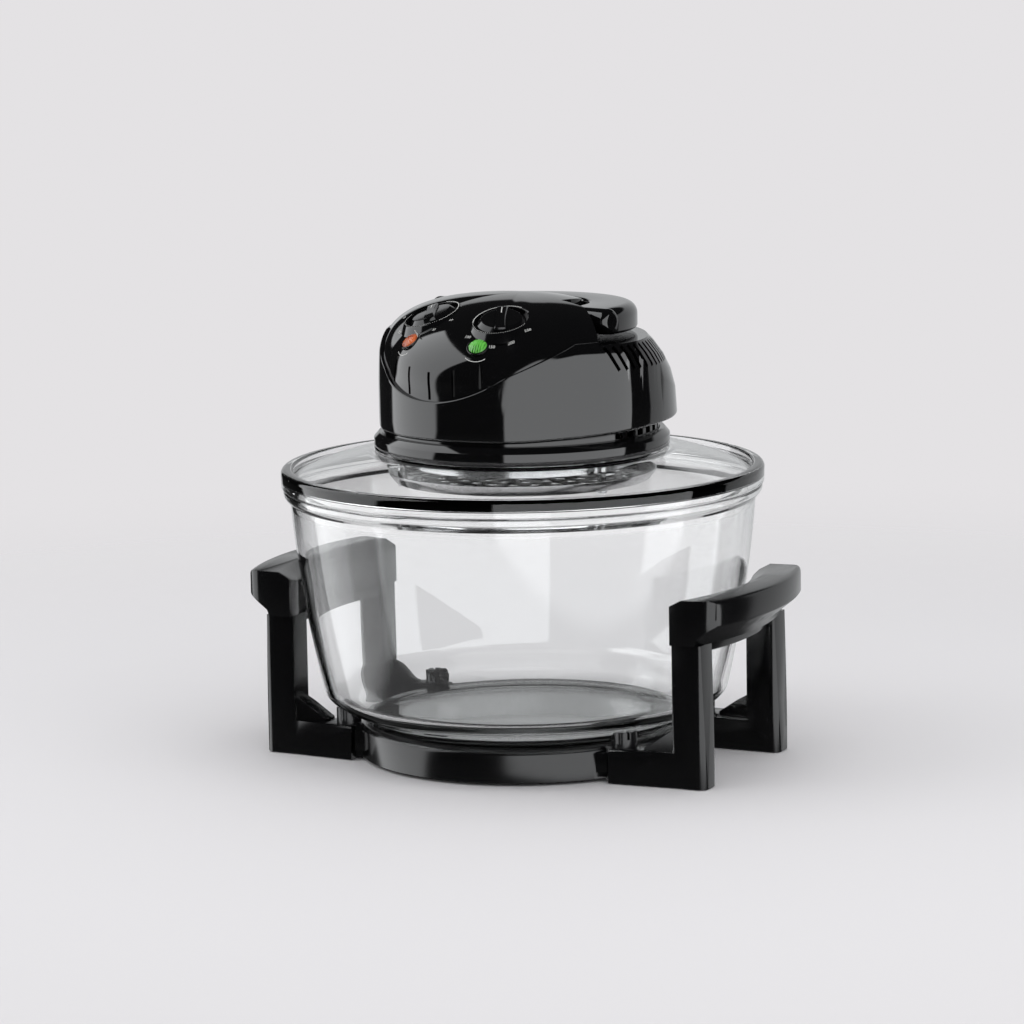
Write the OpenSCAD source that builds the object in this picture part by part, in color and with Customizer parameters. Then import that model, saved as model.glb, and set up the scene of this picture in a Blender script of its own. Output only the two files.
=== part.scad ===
// Halogen oven: a glass bowl in a plastic stand, with a glass lid that carries
// the heating and fan head. Millimetres, +Z up, origin on the table under the
// bowl's axis. The stand's grips lie on the X axis and the front is toward -Y.

/* [Stand] */
// Outer radius of the base ring
ring_outer_r = 114.6; // [112:0.2:117]
// Inner radius of the base ring
ring_inner_r = 86; // [80:0.5:92]
// Height of the base ring's top above the table
ring_top = 24; // [22:0.5:28]
// Gap between the base ring and the table
ring_lift = 2.2; // [1:0.1:4]
// Wall of the base ring's channel
ring_wall = 3.2; // [2.5:0.1:4]
// How far a leg's outer face at the table stands out past the bowl's wall
leg_reach = 7; // [5:0.5:11]
// Thickness of a leg along X at the table
leg_thick = 23.5; // [20:0.5:25]
// How far a leg's outer face leans in at its top
leg_lean = 3; // [0:0.5:5]
// Distance from the middle plane to a leg's inner side
leg_inner_y = 52.5; // [50:0.5:56]
// Depth of a leg along Y
leg_depth = 20; // [16:0.5:22]
// Radius of a leg's outer upright edges
leg_edge_r = 6; // [2:0.5:8]
// Height of the legs' tops, where the grip sits
leg_top = 97; // [90:0.5:102]
// Height of the rail's underside between the two legs of one side
rail_low = 90; // [84:0.5:92]
// Radius of the rail's outer face in plan
rail_r = 200; // [180:5:260]
// How far a foot's inner corner stands off the ring
foot_off = 8.6; // [6:0.2:12]
// Distance from the middle plane to a foot's outer side at its inner end
foot_side_y = 76; // [74:0.5:80]
// Width of the foot's splay: how much narrower its outer end is
foot_splay = 3.6; // [0:0.2:6]
// Gap between the stand's plastic and the table, filled by the pads
pad_show = 0.8; // [0.4:0.1:1.5]
// Length of a rubber pad
pad_l = 26; // [16:1:34]
// Width of a rubber pad
pad_w = 11; // [8:0.5:13]
// Thickness of a rubber pad
pad_t = 2.6; // [2:0.1:3.5]

/* [Grips] */
// How far a grip's outer face stands out past the bowl's wall
grip_reach = 28; // [23:0.5:33]
// Radius of a grip's outer face in plan
grip_r = 225; // [200:5:260]
// Width of a grip from its inner to its outer face
grip_w = 33.5; // [30:0.5:35]
// Half of a grip's length along Y
grip_half_l = 76; // [74:0.5:82]
// Height of a grip's top
grip_top = 128; // [124:0.5:134]
// Height of the lower edge of a grip's outer face
grip_lip = 111; // [106:0.5:116]
// Corner radius of a grip in plan
grip_corner_r = 12; // [8:0.5:14]

/* [Bowl] */
// Radius of the bowl's flat foot
bowl_foot_r = 108; // [102:0.5:110]
// Radius where the foot's bevel meets the rounded corner
bowl_bevel_r = 117; // [114:0.5:120]
// Height of that bevel above the foot
bowl_bevel_h = 6.9; // [5:0.1:9]
// How much narrower the wall is at its foot than at its top
bowl_taper = 19.6; // [17:0.2:22]
// Height of that place above the foot
bowl_wall_h = 24.7; // [22:0.5:28]
// Radius of the wall's upper end, under the rim
bowl_upper_r = 159; // [156:0.5:161]
// How far the wall bulges outward in its middle
bowl_bulge = 2.35; // [1:0.05:4]
// Height of the bowl from its foot to its rim
bowl_h = 163; // [155:1:175]
// How far the bowl's rim stands out past the top of its wall
bowl_flare = 4.6; // [3:0.2:6]
// Thickness of the bowl's glass
bowl_glass = 5; // [4:0.25:6]

/* [Lid] */
// How far the lid's rim stands out past the bowl's rim
lid_overhang = 1.7; // [0.4:0.1:3]
// Height of the lid's rim
lid_rim_h = 13.8; // [12:0.2:16]
// Thickness of the lid's glass
lid_glass_t = 5; // [4:0.25:6]
// Height of the lid's top surface at the rim, above the lid's seat
lid_edge_h = 10; // [9:0.25:11]
// Height of the lid's top surface at the collar, above the lid's seat
lid_dome_h = 19.2; // [17:0.2:21]
// Outer radius of the collar round the lid's hole
collar_r = 97; // [95:0.5:99]
// Radius of the lid's hole
lid_hole_r = 90; // [88:0.5:92]
// Height of the collar's top above the lid's seat
collar_h = 25.3; // [24.5:0.1:27]
// Thickness of the gasket between the collar and the head
gasket_t = 1; // [0.6:0.1:1.6]
// Angle by which the lid is turned on the bowl
lid_turn = -14; // [-40:1:40]

/* [Head] */
// How far the flange stands out past the vent neck
flange_rim = 7.2; // [6:0.2:9]
// Height of the flange's outer face
flange_face_h = 7.7; // [6:0.1:9]
// Height of the flange's chamfer
flange_chamfer_h = 4; // [3:0.1:4.5]
// Thickness of the flange's plate
flange_plate_t = 3.7; // [3:0.1:5]
// Outer radius of the vent neck
neck_r = 93.8; // [92:0.1:94]
// Wall of the vent neck
neck_wall = 2.4; // [1.8:0.1:3]
// Height of the housing's lower edge at the front, above the flange's underside
skirt_h = 13.7; // [13.2:0.1:15]
// How much higher the lower edge is at the rear
skirt_rise = 6.5; // [0:0.5:8]
// How far the housing's front wall stands out past the vent neck
front_out = 3.2; // [2.6:0.1:5]
// How far the housing's cheeks and rear stand out past the vent neck
rear_out = 12.2; // [9:0.2:14]
// Height of the housing's crown above the flange's underside
crown_h = 104.2; // [101:0.5:107]
// Depth of the step along the front ledge and the side creases
crease_d = 2.4; // [1.4:0.1:3]
// Height of the front ledge's lowest point above the flange's underside
ledge_h = 40.3; // [38:0.5:43]
// Number of grooves in the front panel
groove_n = 5; // [3:2:7]
// Angle from one groove to the next
groove_step = 11.8; // [9:0.2:12.4]
// Width of a groove
groove_w = 2.2; // [1.6:0.1:3]
// Length of a groove
groove_l = 18.6; // [14:0.2:20]
// Number of air slots on each side
slot_n = 12; // [8:1:13]
// Angle from one air slot to the next
slot_step = 3.7; // [3.4:0.1:4]
// Width of an air slot
slot_w = 2.5; // [1.8:0.1:3]
// Length of an air slot
slot_l = 18.4; // [14:0.2:19]
// Height of the deck under the carry handle, above the flange's underside
deck_h = 77.2; // [75:0.2:79]

/* [Controls] */
// Distance from the middle plane to each dial's centre
dial_x = 30.5; // [28:0.5:33]
// Distance of the dials' centres in front of the bowl's axis
dial_y = 55.2; // [52:0.5:58]
// Tilt of the dials from the vertical
dial_tilt = 21; // [16:1:26]
// Radius of a dial's base
dial_r = 16.5; // [15:0.5:17.5]
// Height of a dial's grip bar above its seat
dial_h = 12; // [10:0.5:14]
// Radius of a dial's spindle
spindle_r = 3; // [2.5:0.1:3.5]
// Distance from the middle plane to each lamp
lamp_x = 29.8; // [28:0.5:31]
// Distance of the lamps in front of the bowl's axis
lamp_y = 79.2; // [77:0.5:81]
// Tilt of the lamps from the vertical
lamp_tilt = 39; // [34:1:44]
// Radius of a lamp's lens
lamp_r = 6.3; // [5:0.1:7]
// Running clearance of spindles and pins in their holes
run_gap = 0.08; // [0.04:0.01:0.1]

/* [Carry handle] */
// Inner radius of the handle's bow
bail_inner_r = 45; // [43:0.5:48]
// Outer radius of the handle's bow
bail_outer_r = 78; // [75:0.5:80]
// Thickness of the handle
bail_t = 17.6; // [16:0.2:18.5]
// Gap between the handle and the deck
bail_gap = 2.6; // [2:0.1:3.4]
// Distance of the handle's pivot behind the bowl's axis
pivot_y = 3; // [0:0.5:6]
// Radius of the handle's pivot pins
pin_r = 3.5; // [3:0.1:4]

/* [Heater and fans] */
// Radius of the reflector dish
reflector_r = 76; // [72:0.5:78]
// Depth of the reflector dish
reflector_h = 14; // [12:0.5:15]
// Radius of the lamp tube's ring
tube_ring_r = 56; // [52:0.5:60]
// Radius of the lamp tube
tube_r = 5; // [4:0.25:5.5]
// Radius of the guard tray
guard_r = 91.5; // [89:0.5:93]
// Height of the guard tray's rim below the flange's underside
guard_rim_drop = 17.7; // [17:0.1:19]
// Depth of the guard tray
guard_h = 6.8; // [5:0.2:8]
// Thickness of the guard tray's sheet
guard_t = 1; // [0.8:0.1:1.5]
// Rings of holes in the guard tray
guard_rings = 5; // [4:1:5]
// Radius of the ring of guard posts
post_ring_r = 82.5; // [80:0.5:84]
// Radius of a guard post
post_r = 3.2; // [2.5:0.1:3.6]
// Radius of the hot air fan
fan_r = 40; // [34:0.5:43]
// Number of blades on the hot air fan
fan_n = 8; // [6:1:10]
// Radius of the cooling fan
cool_fan_r = 64; // [58:1:70]
// Number of blades on the cooling fan
cool_fan_n = 9; // [7:1:11]
// Radius of the fans' shaft
shaft_r = 3; // [2.5:0.1:3.5]
// Radius of the motor
motor_r = 29; // [26:0.5:30]
// Height of the motor
motor_h = 30; // [26:0.5:32]

/* [Hidden] */
$fn = 96;
lid_seat = ring_top + bowl_h;                       // table to lid seat
bowl_wall_r = bowl_upper_r - bowl_taper;
bowl_rim_r = bowl_upper_r + bowl_flare;
lid_r = bowl_rim_r + lid_overhang;
leg_outer_x = bowl_upper_r + leg_reach;             // bowl's axis to a leg's outer face
grip_outer_x = bowl_upper_r + grip_reach;           // bowl's axis to a grip's outer face
foot_inner_x = sqrt(pow(ring_outer_r + foot_off, 2) - pow(foot_side_y, 2));
flange_z = lid_seat + collar_h + gasket_t;          // flange's underside
flange_r = neck_r + flange_rim;
front_r = neck_r + front_out;
rear_r = neck_r + rear_out;
crown_z = flange_z + crown_h;
deck_z = flange_z + deck_h;
plate_top = flange_z + flange_plate_t;
bail_low = deck_z + bail_gap;
pivot_z = bail_low + bail_t / 2;
reflector_top = flange_z - 0.3;
tube_z = reflector_top - reflector_h + tube_r - 1;
guard_rim_z = flange_z - guard_rim_drop;
guard_low = guard_rim_z - guard_h;
sides = [-1, 1];
leg_mid_y = leg_inner_y + leg_depth / 2;
leg_inner_x = leg_outer_x - leg_thick;
peg_x = foot_inner_x + 7;
peg_y = foot_side_y - 11;
peg_h = 11;
peg_r = 8.5;
peg_shank_r = 4;
peg_shank_h = 9;
screw_r = 3.4;
screw_head_h = 2.2;
ring_mid_r = (ring_inner_r + ring_outer_r) / 2;
foot_screw_y = peg_y - 4;
foot_screw_x = sqrt(ring_mid_r * ring_mid_r - foot_screw_y * foot_screw_y);
grip_screw_y = leg_inner_y - 12.5;
rail_out_x = leg_outer_x - leg_lean + 2.2;
rail_w = 13.5;
grip_screw_x = rail_out_x - rail_r + sqrt(pow(rail_r - rail_w / 2, 2) - pow(grip_screw_y, 2)) + 1;
seat = 0.25;                                        // gap of a snug seat

// Small helpers
// A point at an angle and radius
function polar(r, a) = [r * cos(a), r * sin(a)];
// The points of a line of points moved sideways by d
function beside(p, d) = [for (i = [0:len(p) - 1])
    let (a = p[max(i - 1, 0)], b = p[min(i + 1, len(p) - 1)], t = (b - a) / norm(b - a))
    p[i] + d * [-t[1], t[0]]];
function backward(p) = [for (i = [len(p) - 1:-1:0]) p[i]];
// Zero below a, one above b, and a smooth rise between them
function rise(x, a, b) = let (u = max(0, min(1, (x - a) / (b - a)))) u * u * (3 - 2 * u);
// Both sides of the stand: the piece as drawn, or its mirror image
module side_of(s) mirror([s < 0 ? 1 : 0, 0, 0]) children();
module front_and_back() { children(); mirror([0, 1, 0]) children(); }
module head_place() rotate([0, 0, lid_turn]) children();
// A closed prism along Y from a profile in X and Z
module prism_y(profile, y0, y1)
    translate([0, y1, 0]) rotate([90, 0, 0]) linear_extrude(y1 - y0) polygon(profile);

// Base ring: a channel open at the bottom, on which the bowl stands
module base_ring() color([0.05, 0.05, 0.055]) difference() {
    rotate_extrude() {
        difference() {
            polygon(concat([[ring_inner_r, ring_lift], [ring_outer_r, ring_lift]],
                [for (a = [0:15:90]) [ring_outer_r - 4, ring_top - 4] + polar(4, a)],
                [[ring_inner_r, ring_top]]));
            translate([ring_inner_r + ring_wall, ring_lift - 1])
                square([ring_outer_r - ring_inner_r - 2 * ring_wall, ring_top - ring_lift - 2.5]);
        }
    }
    for (s = sides) side_of(s) front_and_back() {
        tongue_space(seat);
        foot_screw(run_gap);
    }
}
// The tongue of a foot lies in the ring's channel, under the ring's top
module tongue_space(gap) {
    z0 = ring_lift + 5;
    translate([foot_screw_x - 7, peg_y - 9 - gap, z0 - gap])
        cube([foot_inner_x + 19 - foot_screw_x, 18 + 2 * gap, ring_top - 3.5 - z0 + gap]);
}
// One foot: a bar from the ring to the leg, splayed and rounded along its top
module foot() {
    w = foot_side_y - leg_inner_y;
    difference() {
        intersection() {
            translate([0, 0, pad_show]) linear_extrude(ring_top - pad_show)
                polygon([[foot_inner_x - 16, leg_inner_y], [leg_inner_x + 4, leg_inner_y],
                    [leg_inner_x + 4, foot_side_y - foot_splay], [foot_inner_x, foot_side_y],
                    [foot_inner_x, foot_side_y - 7], [foot_inner_x - 16, foot_side_y - 9]]);
            translate([foot_inner_x - 20, leg_inner_y, 0]) rotate([90, 0, 90])
                linear_extrude(leg_outer_x) {
                    square([w, ring_top - 3]);
                    translate([3, 0]) square([w - 6, ring_top]);
                    for (x = [3, w - 3]) translate([x, ring_top - 3]) circle(3);
                }
        }
        cylinder(r = ring_outer_r, h = 2 * ring_top + 10, center = true);
    }
}
module tongue() intersection() {
    tongue_space(0);
    difference() {
        cylinder(r = ring_outer_r + 6, h = ring_top + 10);
        translate([0, 0, -1]) cylinder(r = ring_inner_r + ring_wall + 3, h = ring_top + 20);
    }
}
// A leg with its rounded outer edges
module leg() intersection() {
    prism_y([[leg_inner_x, pad_show], [leg_outer_x, pad_show],
        [leg_outer_x - leg_lean, leg_top], [leg_inner_x, leg_top]],
        leg_inner_y, leg_inner_y + leg_depth);
    linear_extrude(leg_top + 1) {
        translate([leg_inner_x - 1, leg_inner_y]) square([leg_thick + 1 - leg_edge_r, leg_depth]);
        translate([leg_inner_x, leg_inner_y + leg_edge_r])
            square([leg_thick, leg_depth - 2 * leg_edge_r]);
        for (y = [leg_edge_r, leg_depth - leg_edge_r])
            translate([leg_outer_x - leg_edge_r, leg_inner_y + y]) circle(leg_edge_r);
    }
}
// The three-cornered web in the angle of a leg and its foot
module gusset() prism_y([[leg_inner_x + 1, ring_top - 1], [leg_inner_x + 1, ring_top + 16],
    [leg_inner_x - 8, ring_top + 11], [leg_inner_x - 22, ring_top + 1.6],
    [leg_inner_x - 22, ring_top - 1]], leg_inner_y + 3, leg_inner_y + leg_depth - 3);
// The rail that ties the two legs under the grip
module rail() {
    translate([0, 0, rail_low]) linear_extrude(leg_top - rail_low) intersection() {
        translate([rail_out_x - rail_r, 0]) difference() { circle(rail_r); circle(rail_r - rail_w); }
        translate([leg_inner_x, -leg_inner_y - 2]) square([40, 2 * leg_inner_y + 4]);
    }
}
// A rubber pad under a leg, or the pocket that it is pressed into
module pad_at(extra, below) front_and_back()
    translate([leg_outer_x - 1 - pad_l - extra, leg_mid_y - pad_w / 2 - extra, -below])
        cube([pad_l + 2 * extra, pad_w + 2 * extra, pad_t + below]);
// One side of the stand: two feet, two legs and the rail between them
module frame_side() color([0.05, 0.05, 0.055]) difference() {
    union() {
        front_and_back() { foot(); tongue(); leg(); gusset(); }
        rail();
    }
    pad_at(0.1, 1);
    front_and_back() {
        translate([peg_x, peg_y, ring_top - peg_shank_h]) cylinder(r = peg_shank_r + run_gap, h = 12);
        foot_screw(run_gap);
        grip_screw(run_gap);
    }
}
// A screw that points up, with its head's underside at height z, or its hole
module screw_up(x, y, z, l, gap) translate([x, y, z]) {
    cylinder(r = 1.5 + gap, h = l + gap);
    if (gap > 0) translate([0, 0, -6]) cylinder(r = screw_r + 0.3, h = 6);
    else translate([0, 0, -screw_head_h]) cylinder(r = screw_r, h = screw_head_h);
}
// The screw through a foot's tongue into the ring's top
module foot_screw(gap) screw_up(foot_screw_x, foot_screw_y, ring_lift + 5, ring_top - ring_lift - 6, gap);
// The screw through the rail into the grip
module grip_screw(gap) screw_up(grip_screw_x, grip_screw_y, rail_low + 2.6, 12, gap);

// Grip: a curved bar that sits on two legs and their rail
grip_inner_r = grip_r - grip_w;
grip_x0 = grip_outer_x - grip_r;
module grip_side() color([0.05, 0.05, 0.055]) difference() {
    intersection() {
        translate([grip_x0, 0, 0]) rotate_extrude() translate([grip_inner_r, 0]) polygon([
            [0, leg_top], [19.5, leg_top], [21, leg_top + 4], [grip_w - 0.8, grip_lip - 0.6],
            [grip_w, grip_lip + 0.4], [grip_w, grip_top - 3], [grip_w - 0.9, grip_top - 0.9],
            [grip_w - 3, grip_top], [12, grip_top - 0.5], [0.8, grip_top - 7], [0, grip_top - 8]]);
        grip_end_trim();
    }
    front_and_back() grip_screw(run_gap);
}
// Distance from the bowl's axis to a grip's outer face near its end
grip_end_x = grip_x0 + sqrt(grip_r * grip_r - pow(grip_half_l - grip_corner_r, 2)) + 0.2;
module grip_end_trim() linear_extrude(grip_top + 1) {
    translate([leg_inner_x, -grip_half_l])
        square([grip_end_x - grip_corner_r - leg_inner_x, 2 * grip_half_l]);
    translate([leg_inner_x, grip_corner_r - grip_half_l])
        square([80, 2 * (grip_half_l - grip_corner_r)]);
    for (t = sides) translate([grip_end_x - grip_corner_r, t * (grip_half_l - grip_corner_r)])
        circle(grip_corner_r);
}

// Bowl: the outer line from the middle of its foot to its rim
bowl_corner_r = 22.8;
bowl_wall_line = [for (u = [0:0.1:1]) [
    bowl_wall_r + (bowl_upper_r - bowl_wall_r) * u + 4 * bowl_bulge * u * (1 - u),
    ring_top + bowl_wall_h + (bowl_h - 9 - bowl_wall_h) * u]];
// The corner is a curve from the bevel to the wall, tangent to both
bowl_corner = let (a = [bowl_bevel_r, ring_top + bowl_bevel_h], b = bowl_wall_line[0],
    ta = (a - [bowl_foot_r, ring_top]) / norm(a - [bowl_foot_r, ring_top]),
    tb = (bowl_wall_line[1] - b) / norm(bowl_wall_line[1] - b), c = norm(b - a) * 0.36)
    [for (u = [0:0.1:0.95]) pow(1 - u, 3) * a + 3 * u * pow(1 - u, 2) * (a + c * ta)
        + 3 * u * u * (1 - u) * (b - c * tb) + pow(u, 3) * b];
bowl_outer = concat([[0, ring_top], [bowl_foot_r - 8, ring_top], [bowl_foot_r, ring_top + 0.5]],
    bowl_corner, bowl_wall_line);
bowl_inner = beside(bowl_outer, bowl_glass);
module glass_bowl() color([0.82, 0.88, 0.88, 0.35]) rotate_extrude() polygon(concat(bowl_outer,
    [[bowl_rim_r - 1.4, lid_seat - 6.2], [bowl_rim_r - 0.2, lid_seat - 4],
    [bowl_rim_r, lid_seat - 1.2], [bowl_rim_r - 0.8, lid_seat],
    [bowl_rim_r - 10.8, lid_seat], [bowl_rim_r - 11.2, lid_seat - 1.5]], backward(bowl_inner)));
// The room that the bowl takes, with a gap round it
module bowl_room(gap) rotate_extrude() polygon(concat(
    [[0, ring_top - gap]], beside([for (i = [1:len(bowl_outer) - 1]) bowl_outer[i]], -gap),
    [[bowl_upper_r + gap, lid_seat], [0, lid_seat]]));

// Pegs that centre the bowl on the ring, each split in four lobes
module peg() difference() {
    translate([peg_x, peg_y, 0]) {
        translate([0, 0, ring_top - peg_shank_h]) cylinder(r = peg_shank_r, h = peg_shank_h + 1);
        translate([0, 0, ring_top]) difference() {
            cylinder(r = peg_r, h = peg_h);
            for (a = [0, 90]) rotate([0, 0, a + 45]) translate([-peg_r - 1, -0.9, peg_h - 5])
                cube([2 * peg_r + 2, 1.8, 6]);
            for (a = [0:90:270]) rotate([0, 0, a]) translate([peg_r + 1.2, 0, 3])
                cylinder(r = 2.6, h = peg_h);
        }
    }
    bowl_room(0.3);
}
module locating_pegs() color([0.04, 0.04, 0.045]) for (s = sides) side_of(s) front_and_back() peg();
module rubber_pads() color([0.12, 0.12, 0.12]) for (s = sides) side_of(s) pad_at(0, 0);
module stand_screws() color([0.6, 0.6, 0.62]) for (s = sides) side_of(s) front_and_back() {
    foot_screw(0);
    grip_screw(0);
}

// Lid glass: rim, domed top and a collar round the hole
lid_in_r = bowl_rim_r - 10.8;
lid_top_line = [for (u = [0:0.125:1]) [
    lid_r - 9.3 + (collar_r + 2 - lid_r + 9.3) * u,
    lid_seat + lid_edge_h + (lid_dome_h - lid_edge_h) * (1.25 * u - 0.25 * u * u)]];
lid_under_line = beside(lid_top_line, lid_glass_t);
module glass_lid() color([0.82, 0.88, 0.88, 0.35]) rotate_extrude() polygon(concat(
    [[lid_in_r, lid_seat], [bowl_rim_r - 0.6, lid_seat], [lid_r - 0.7, lid_seat + 2.4],
    [lid_r, lid_seat + 5.5], [lid_r - 0.2, lid_seat + 9], [lid_r - 1.5, lid_seat + lid_rim_h - 1.6],
    [lid_r - 3.7, lid_seat + lid_rim_h - 0.2], [lid_r - 5.6, lid_seat + lid_rim_h - 0.4],
    [lid_r - 7.6, lid_seat + lid_rim_h - 2.2]],
    lid_top_line,
    [[collar_r + 0.6, lid_seat + lid_dome_h + 0.8], [collar_r, lid_seat + lid_dome_h + 2],
    [collar_r, lid_seat + collar_h - 0.8], [collar_r - 0.8, lid_seat + collar_h],
    [lid_hole_r + 0.8, lid_seat + collar_h], [lid_hole_r, lid_seat + collar_h - 0.8],
    [lid_hole_r, lid_low]],
    [for (i = [len(lid_under_line) - 2:-1:0]) lid_under_line[i]],
    [[lid_in_r + 0.8, lid_seat + 4.2], [lid_in_r, lid_seat + 2.6]]));
// Height of the lid's underside round the hole
lid_low = lid_seat + lid_dome_h - lid_glass_t;
module lid_gasket() color([0.2, 0.2, 0.2]) translate([0, 0, flange_z - gasket_t]) difference() {
    cylinder(r = collar_r - 0.8, h = gasket_t);
    translate([0, 0, -1]) cylinder(r = lid_hole_r - 3, h = gasket_t + 2);
}

// Flange of the head: the plate that rests on the lid's collar
boss_at = (neck_r - 11.6) * [0.754, 0.657];          // housing's screw bosses, in plan
function post_angles() = [-40, 80, 200];
module at_posts() for (a = post_angles()) rotate([0, 0, a]) translate([0, -post_ring_r, 0]) children();
module at_bosses() for (x = sides, y = sides) translate([x * boss_at[0], y * boss_at[1], 0]) children();
module head_flange() color([0.05, 0.05, 0.055]) head_place() difference() {
    top = flange_z + flange_face_h;
    rotate_extrude() polygon([[bush_r + run_gap, flange_z], [flange_r - 0.6, flange_z],
        [flange_r, flange_z + 0.6], [flange_r, top], [flange_r - 3.5, top + flange_chamfer_h],
        [neck_r + 0.4, top + flange_chamfer_h], [neck_r + 0.4, plate_top],
        [bush_r + run_gap, plate_top]]);
    at_posts() translate([0, 0, flange_z - 1]) cylinder(r = guard_screw_r + run_gap, h = 10);
    at_bosses() translate([0, 0, flange_z - 1]) {
        cylinder(r = 1.5 + run_gap, h = 10);
        cylinder(r = screw_r + 0.3, h = 1 + screw_head_h + 0.1);
    }
    for (s = sides, a = [60:30:120]) rotate([0, 0, s * a]) translate([0, -45, flange_z - 1])
        cylinder(r = 4, h = 10);
}
// Vent neck: the ring between flange and housing, open in slots at its sides
neck_top = flange_z + skirt_h + 4.6;
module vent_neck() color([0.05, 0.05, 0.055]) head_place() translate([0, 0, plate_top]) difference() {
    cylinder(r = neck_r, h = neck_top - plate_top);
    translate([0, 0, -1]) cylinder(r = neck_r - neck_wall, h = 30);
    for (s = sides, i = [0:5]) rotate([0, 0, s * (84 + 7 * i)])
        translate([-3.6, -neck_r - 2, flange_face_h + flange_chamfer_h - flange_plate_t + 0.6])
            cube([7.2, neck_wall + 6, 4]);
}

// Housing: its outline at an angle from the front toward the right
function side_angle(a) = abs(a > 180 ? a - 360 : a);
function wall_r(a) = front_r + (rear_r - front_r) * rise(side_angle(a), 48, 85);
function wall_top(a) = flange_z + 48.7 - 26 * rise(side_angle(a), 80, 125);
function fullness(a) = 2.3 + rise(side_angle(a), 30, 50) - rise(side_angle(a), 75, 150);
function crown(r) = crown_z - r * r / 1500;
function skirt_z(a) = flange_z + skirt_h + skirt_rise * rise(side_angle(a), 30, 110);
// Height of the ledge at the front, which runs on as the crease of each side
function crease_z(a) = let (b = side_angle(a)) flange_z + ledge_h
    + (b < 33 ? 0.0155 * b * b : 16.9 + 0.72 * (min(b, 63) - 33));
function crease_amount(a) = crease_d * (1 - rise(side_angle(a), 56, 80));
// A point on the curved part: f goes from 0 at the wall to 90 at the crown
function shell_rz(a, f) = let (n = fullness(a), r = wall_r(a) * pow(max(0, cos(f)), 2 / n))
    [r, wall_top(a) + (crown(r) - wall_top(a)) * pow(sin(f), 2 / n)];
// Height of the outer surface over a point in plan
function shell_z(x, y) = let (a = atan2(x, -y), r = norm([x, y]), n = fullness(a))
    wall_top(a) + (crown(r) - wall_top(a)) * pow(1 - pow(r / wall_r(a), n), 1 / n);
function crease_f(a) = let (u = (crease_z(a) - wall_top(a)) / (crown(wall_r(a)) - wall_top(a)))
    u <= 0 ? 0 : asin(pow(u, fullness(a) / 2));
// One upright row of points, from the skirt's inner edge to near the crown
shell_rows = 11;
function shell_column(a) = let (
        zc = crease_z(a), zw = wall_top(a), fc = crease_f(a), low = skirt_z(a), R = wall_r(a),
        w = max(0, zw - zc) / 60)
    concat([[neck_r - 2, flange_z + skirt_h + 1.5 * rise(side_angle(a), 30, 110)],
            [R - 2.2, low], [R, low + 2.4], [R, (low + 2.4 + min(zc, zw)) / 2]],
        [for (i = [1:3]) zc < zw ? [R, low + 2.4 + (zc - low - 2.4) * (0.5 + i / 6)]
            : shell_rz(a, fc * i / 3)],
        [for (i = [0:shell_rows]) let (
            s = (i + 0.12) / (shell_rows + 0.8) * (w + 1),
            p = s < w ? [R, zc + s / w * (zw - zc)] : shell_rz(a, fc + (90 - fc) * (s - w)),
            inset = crease_amount(a) * (1 - rise(p[1] - zc, 3, 28)))
            [p[0] - inset, p[1]]]);
shell_step = 4;
module shell_solid() {
    columns = [for (a = [0:shell_step:359]) shell_column(a)];
    n = len(columns);
    m = len(columns[0]);
    points = concat([for (i = [0:n - 1], p = columns[i])
            [p[0] * sin(i * shell_step), -p[0] * cos(i * shell_step), p[1]]],
        [[0, 0, flange_z + skirt_h], [0, 0, crown_z]]);
    polyhedron(points, concat(
        [for (i = [0:n - 1], j = [0:m - 2]) let (k = (i + 1) % n)
            [i * m + j, i * m + j + 1, k * m + j + 1]],
        [for (i = [0:n - 1], j = [0:m - 2]) let (k = (i + 1) % n)
            [i * m + j, k * m + j + 1, k * m + j]],
        [for (i = [0:n - 1]) let (k = (i + 1) % n) [n * m, i * m, k * m]],
        [for (i = [0:n - 1]) let (k = (i + 1) % n) [n * m + 1, k * m + m - 1, i * m + m - 1]]));
}
// The place of a dial or a lamp, its axis square to the surface
module at_dial(s) translate([s * dial_x, -dial_y, shell_z(dial_x, -dial_y)])
    rotate([0, 0, s * atan2(dial_x, dial_y)]) rotate([dial_tilt, 0, 0]) children();
module at_lamp(s) translate([s * lamp_x, -lamp_y, shell_z(lamp_x, -lamp_y)])
    rotate([0, 0, s * atan2(lamp_x, lamp_y)]) rotate([lamp_tilt, 0, 0]) children();
dial_seat_d = 2.4;                                  // depth of a dial's flat seat
dial_wall = 3.4;                                    // wall between the seat and the switch
switch_r = 15.5;
spindle_in = 12;                                    // how deep a spindle goes into its switch
timer_depth = 20;                                   // depth of the timer's works
thermostat_depth = 15;                              // depth of the thermostat's
bush_dial_r = 5;
tongue_r = bail_inner_r - 3;                        // the housing between the handle's arms
deck_front = pivot_y - bail_t / 2 - 0.8;            // the deck's front edge behind the dials
deck_turn_x = 62;                                   // where that edge turns forward
deck_sweep = 40;                                    // how far it comes forward at the sides
slot_drop = 9.4;                                    // a slot's middle below the deck
slot_lean = 31;                                     // lean of the air slots
slot_first = 76.6;                                  // angle of the first slot from the front
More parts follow.
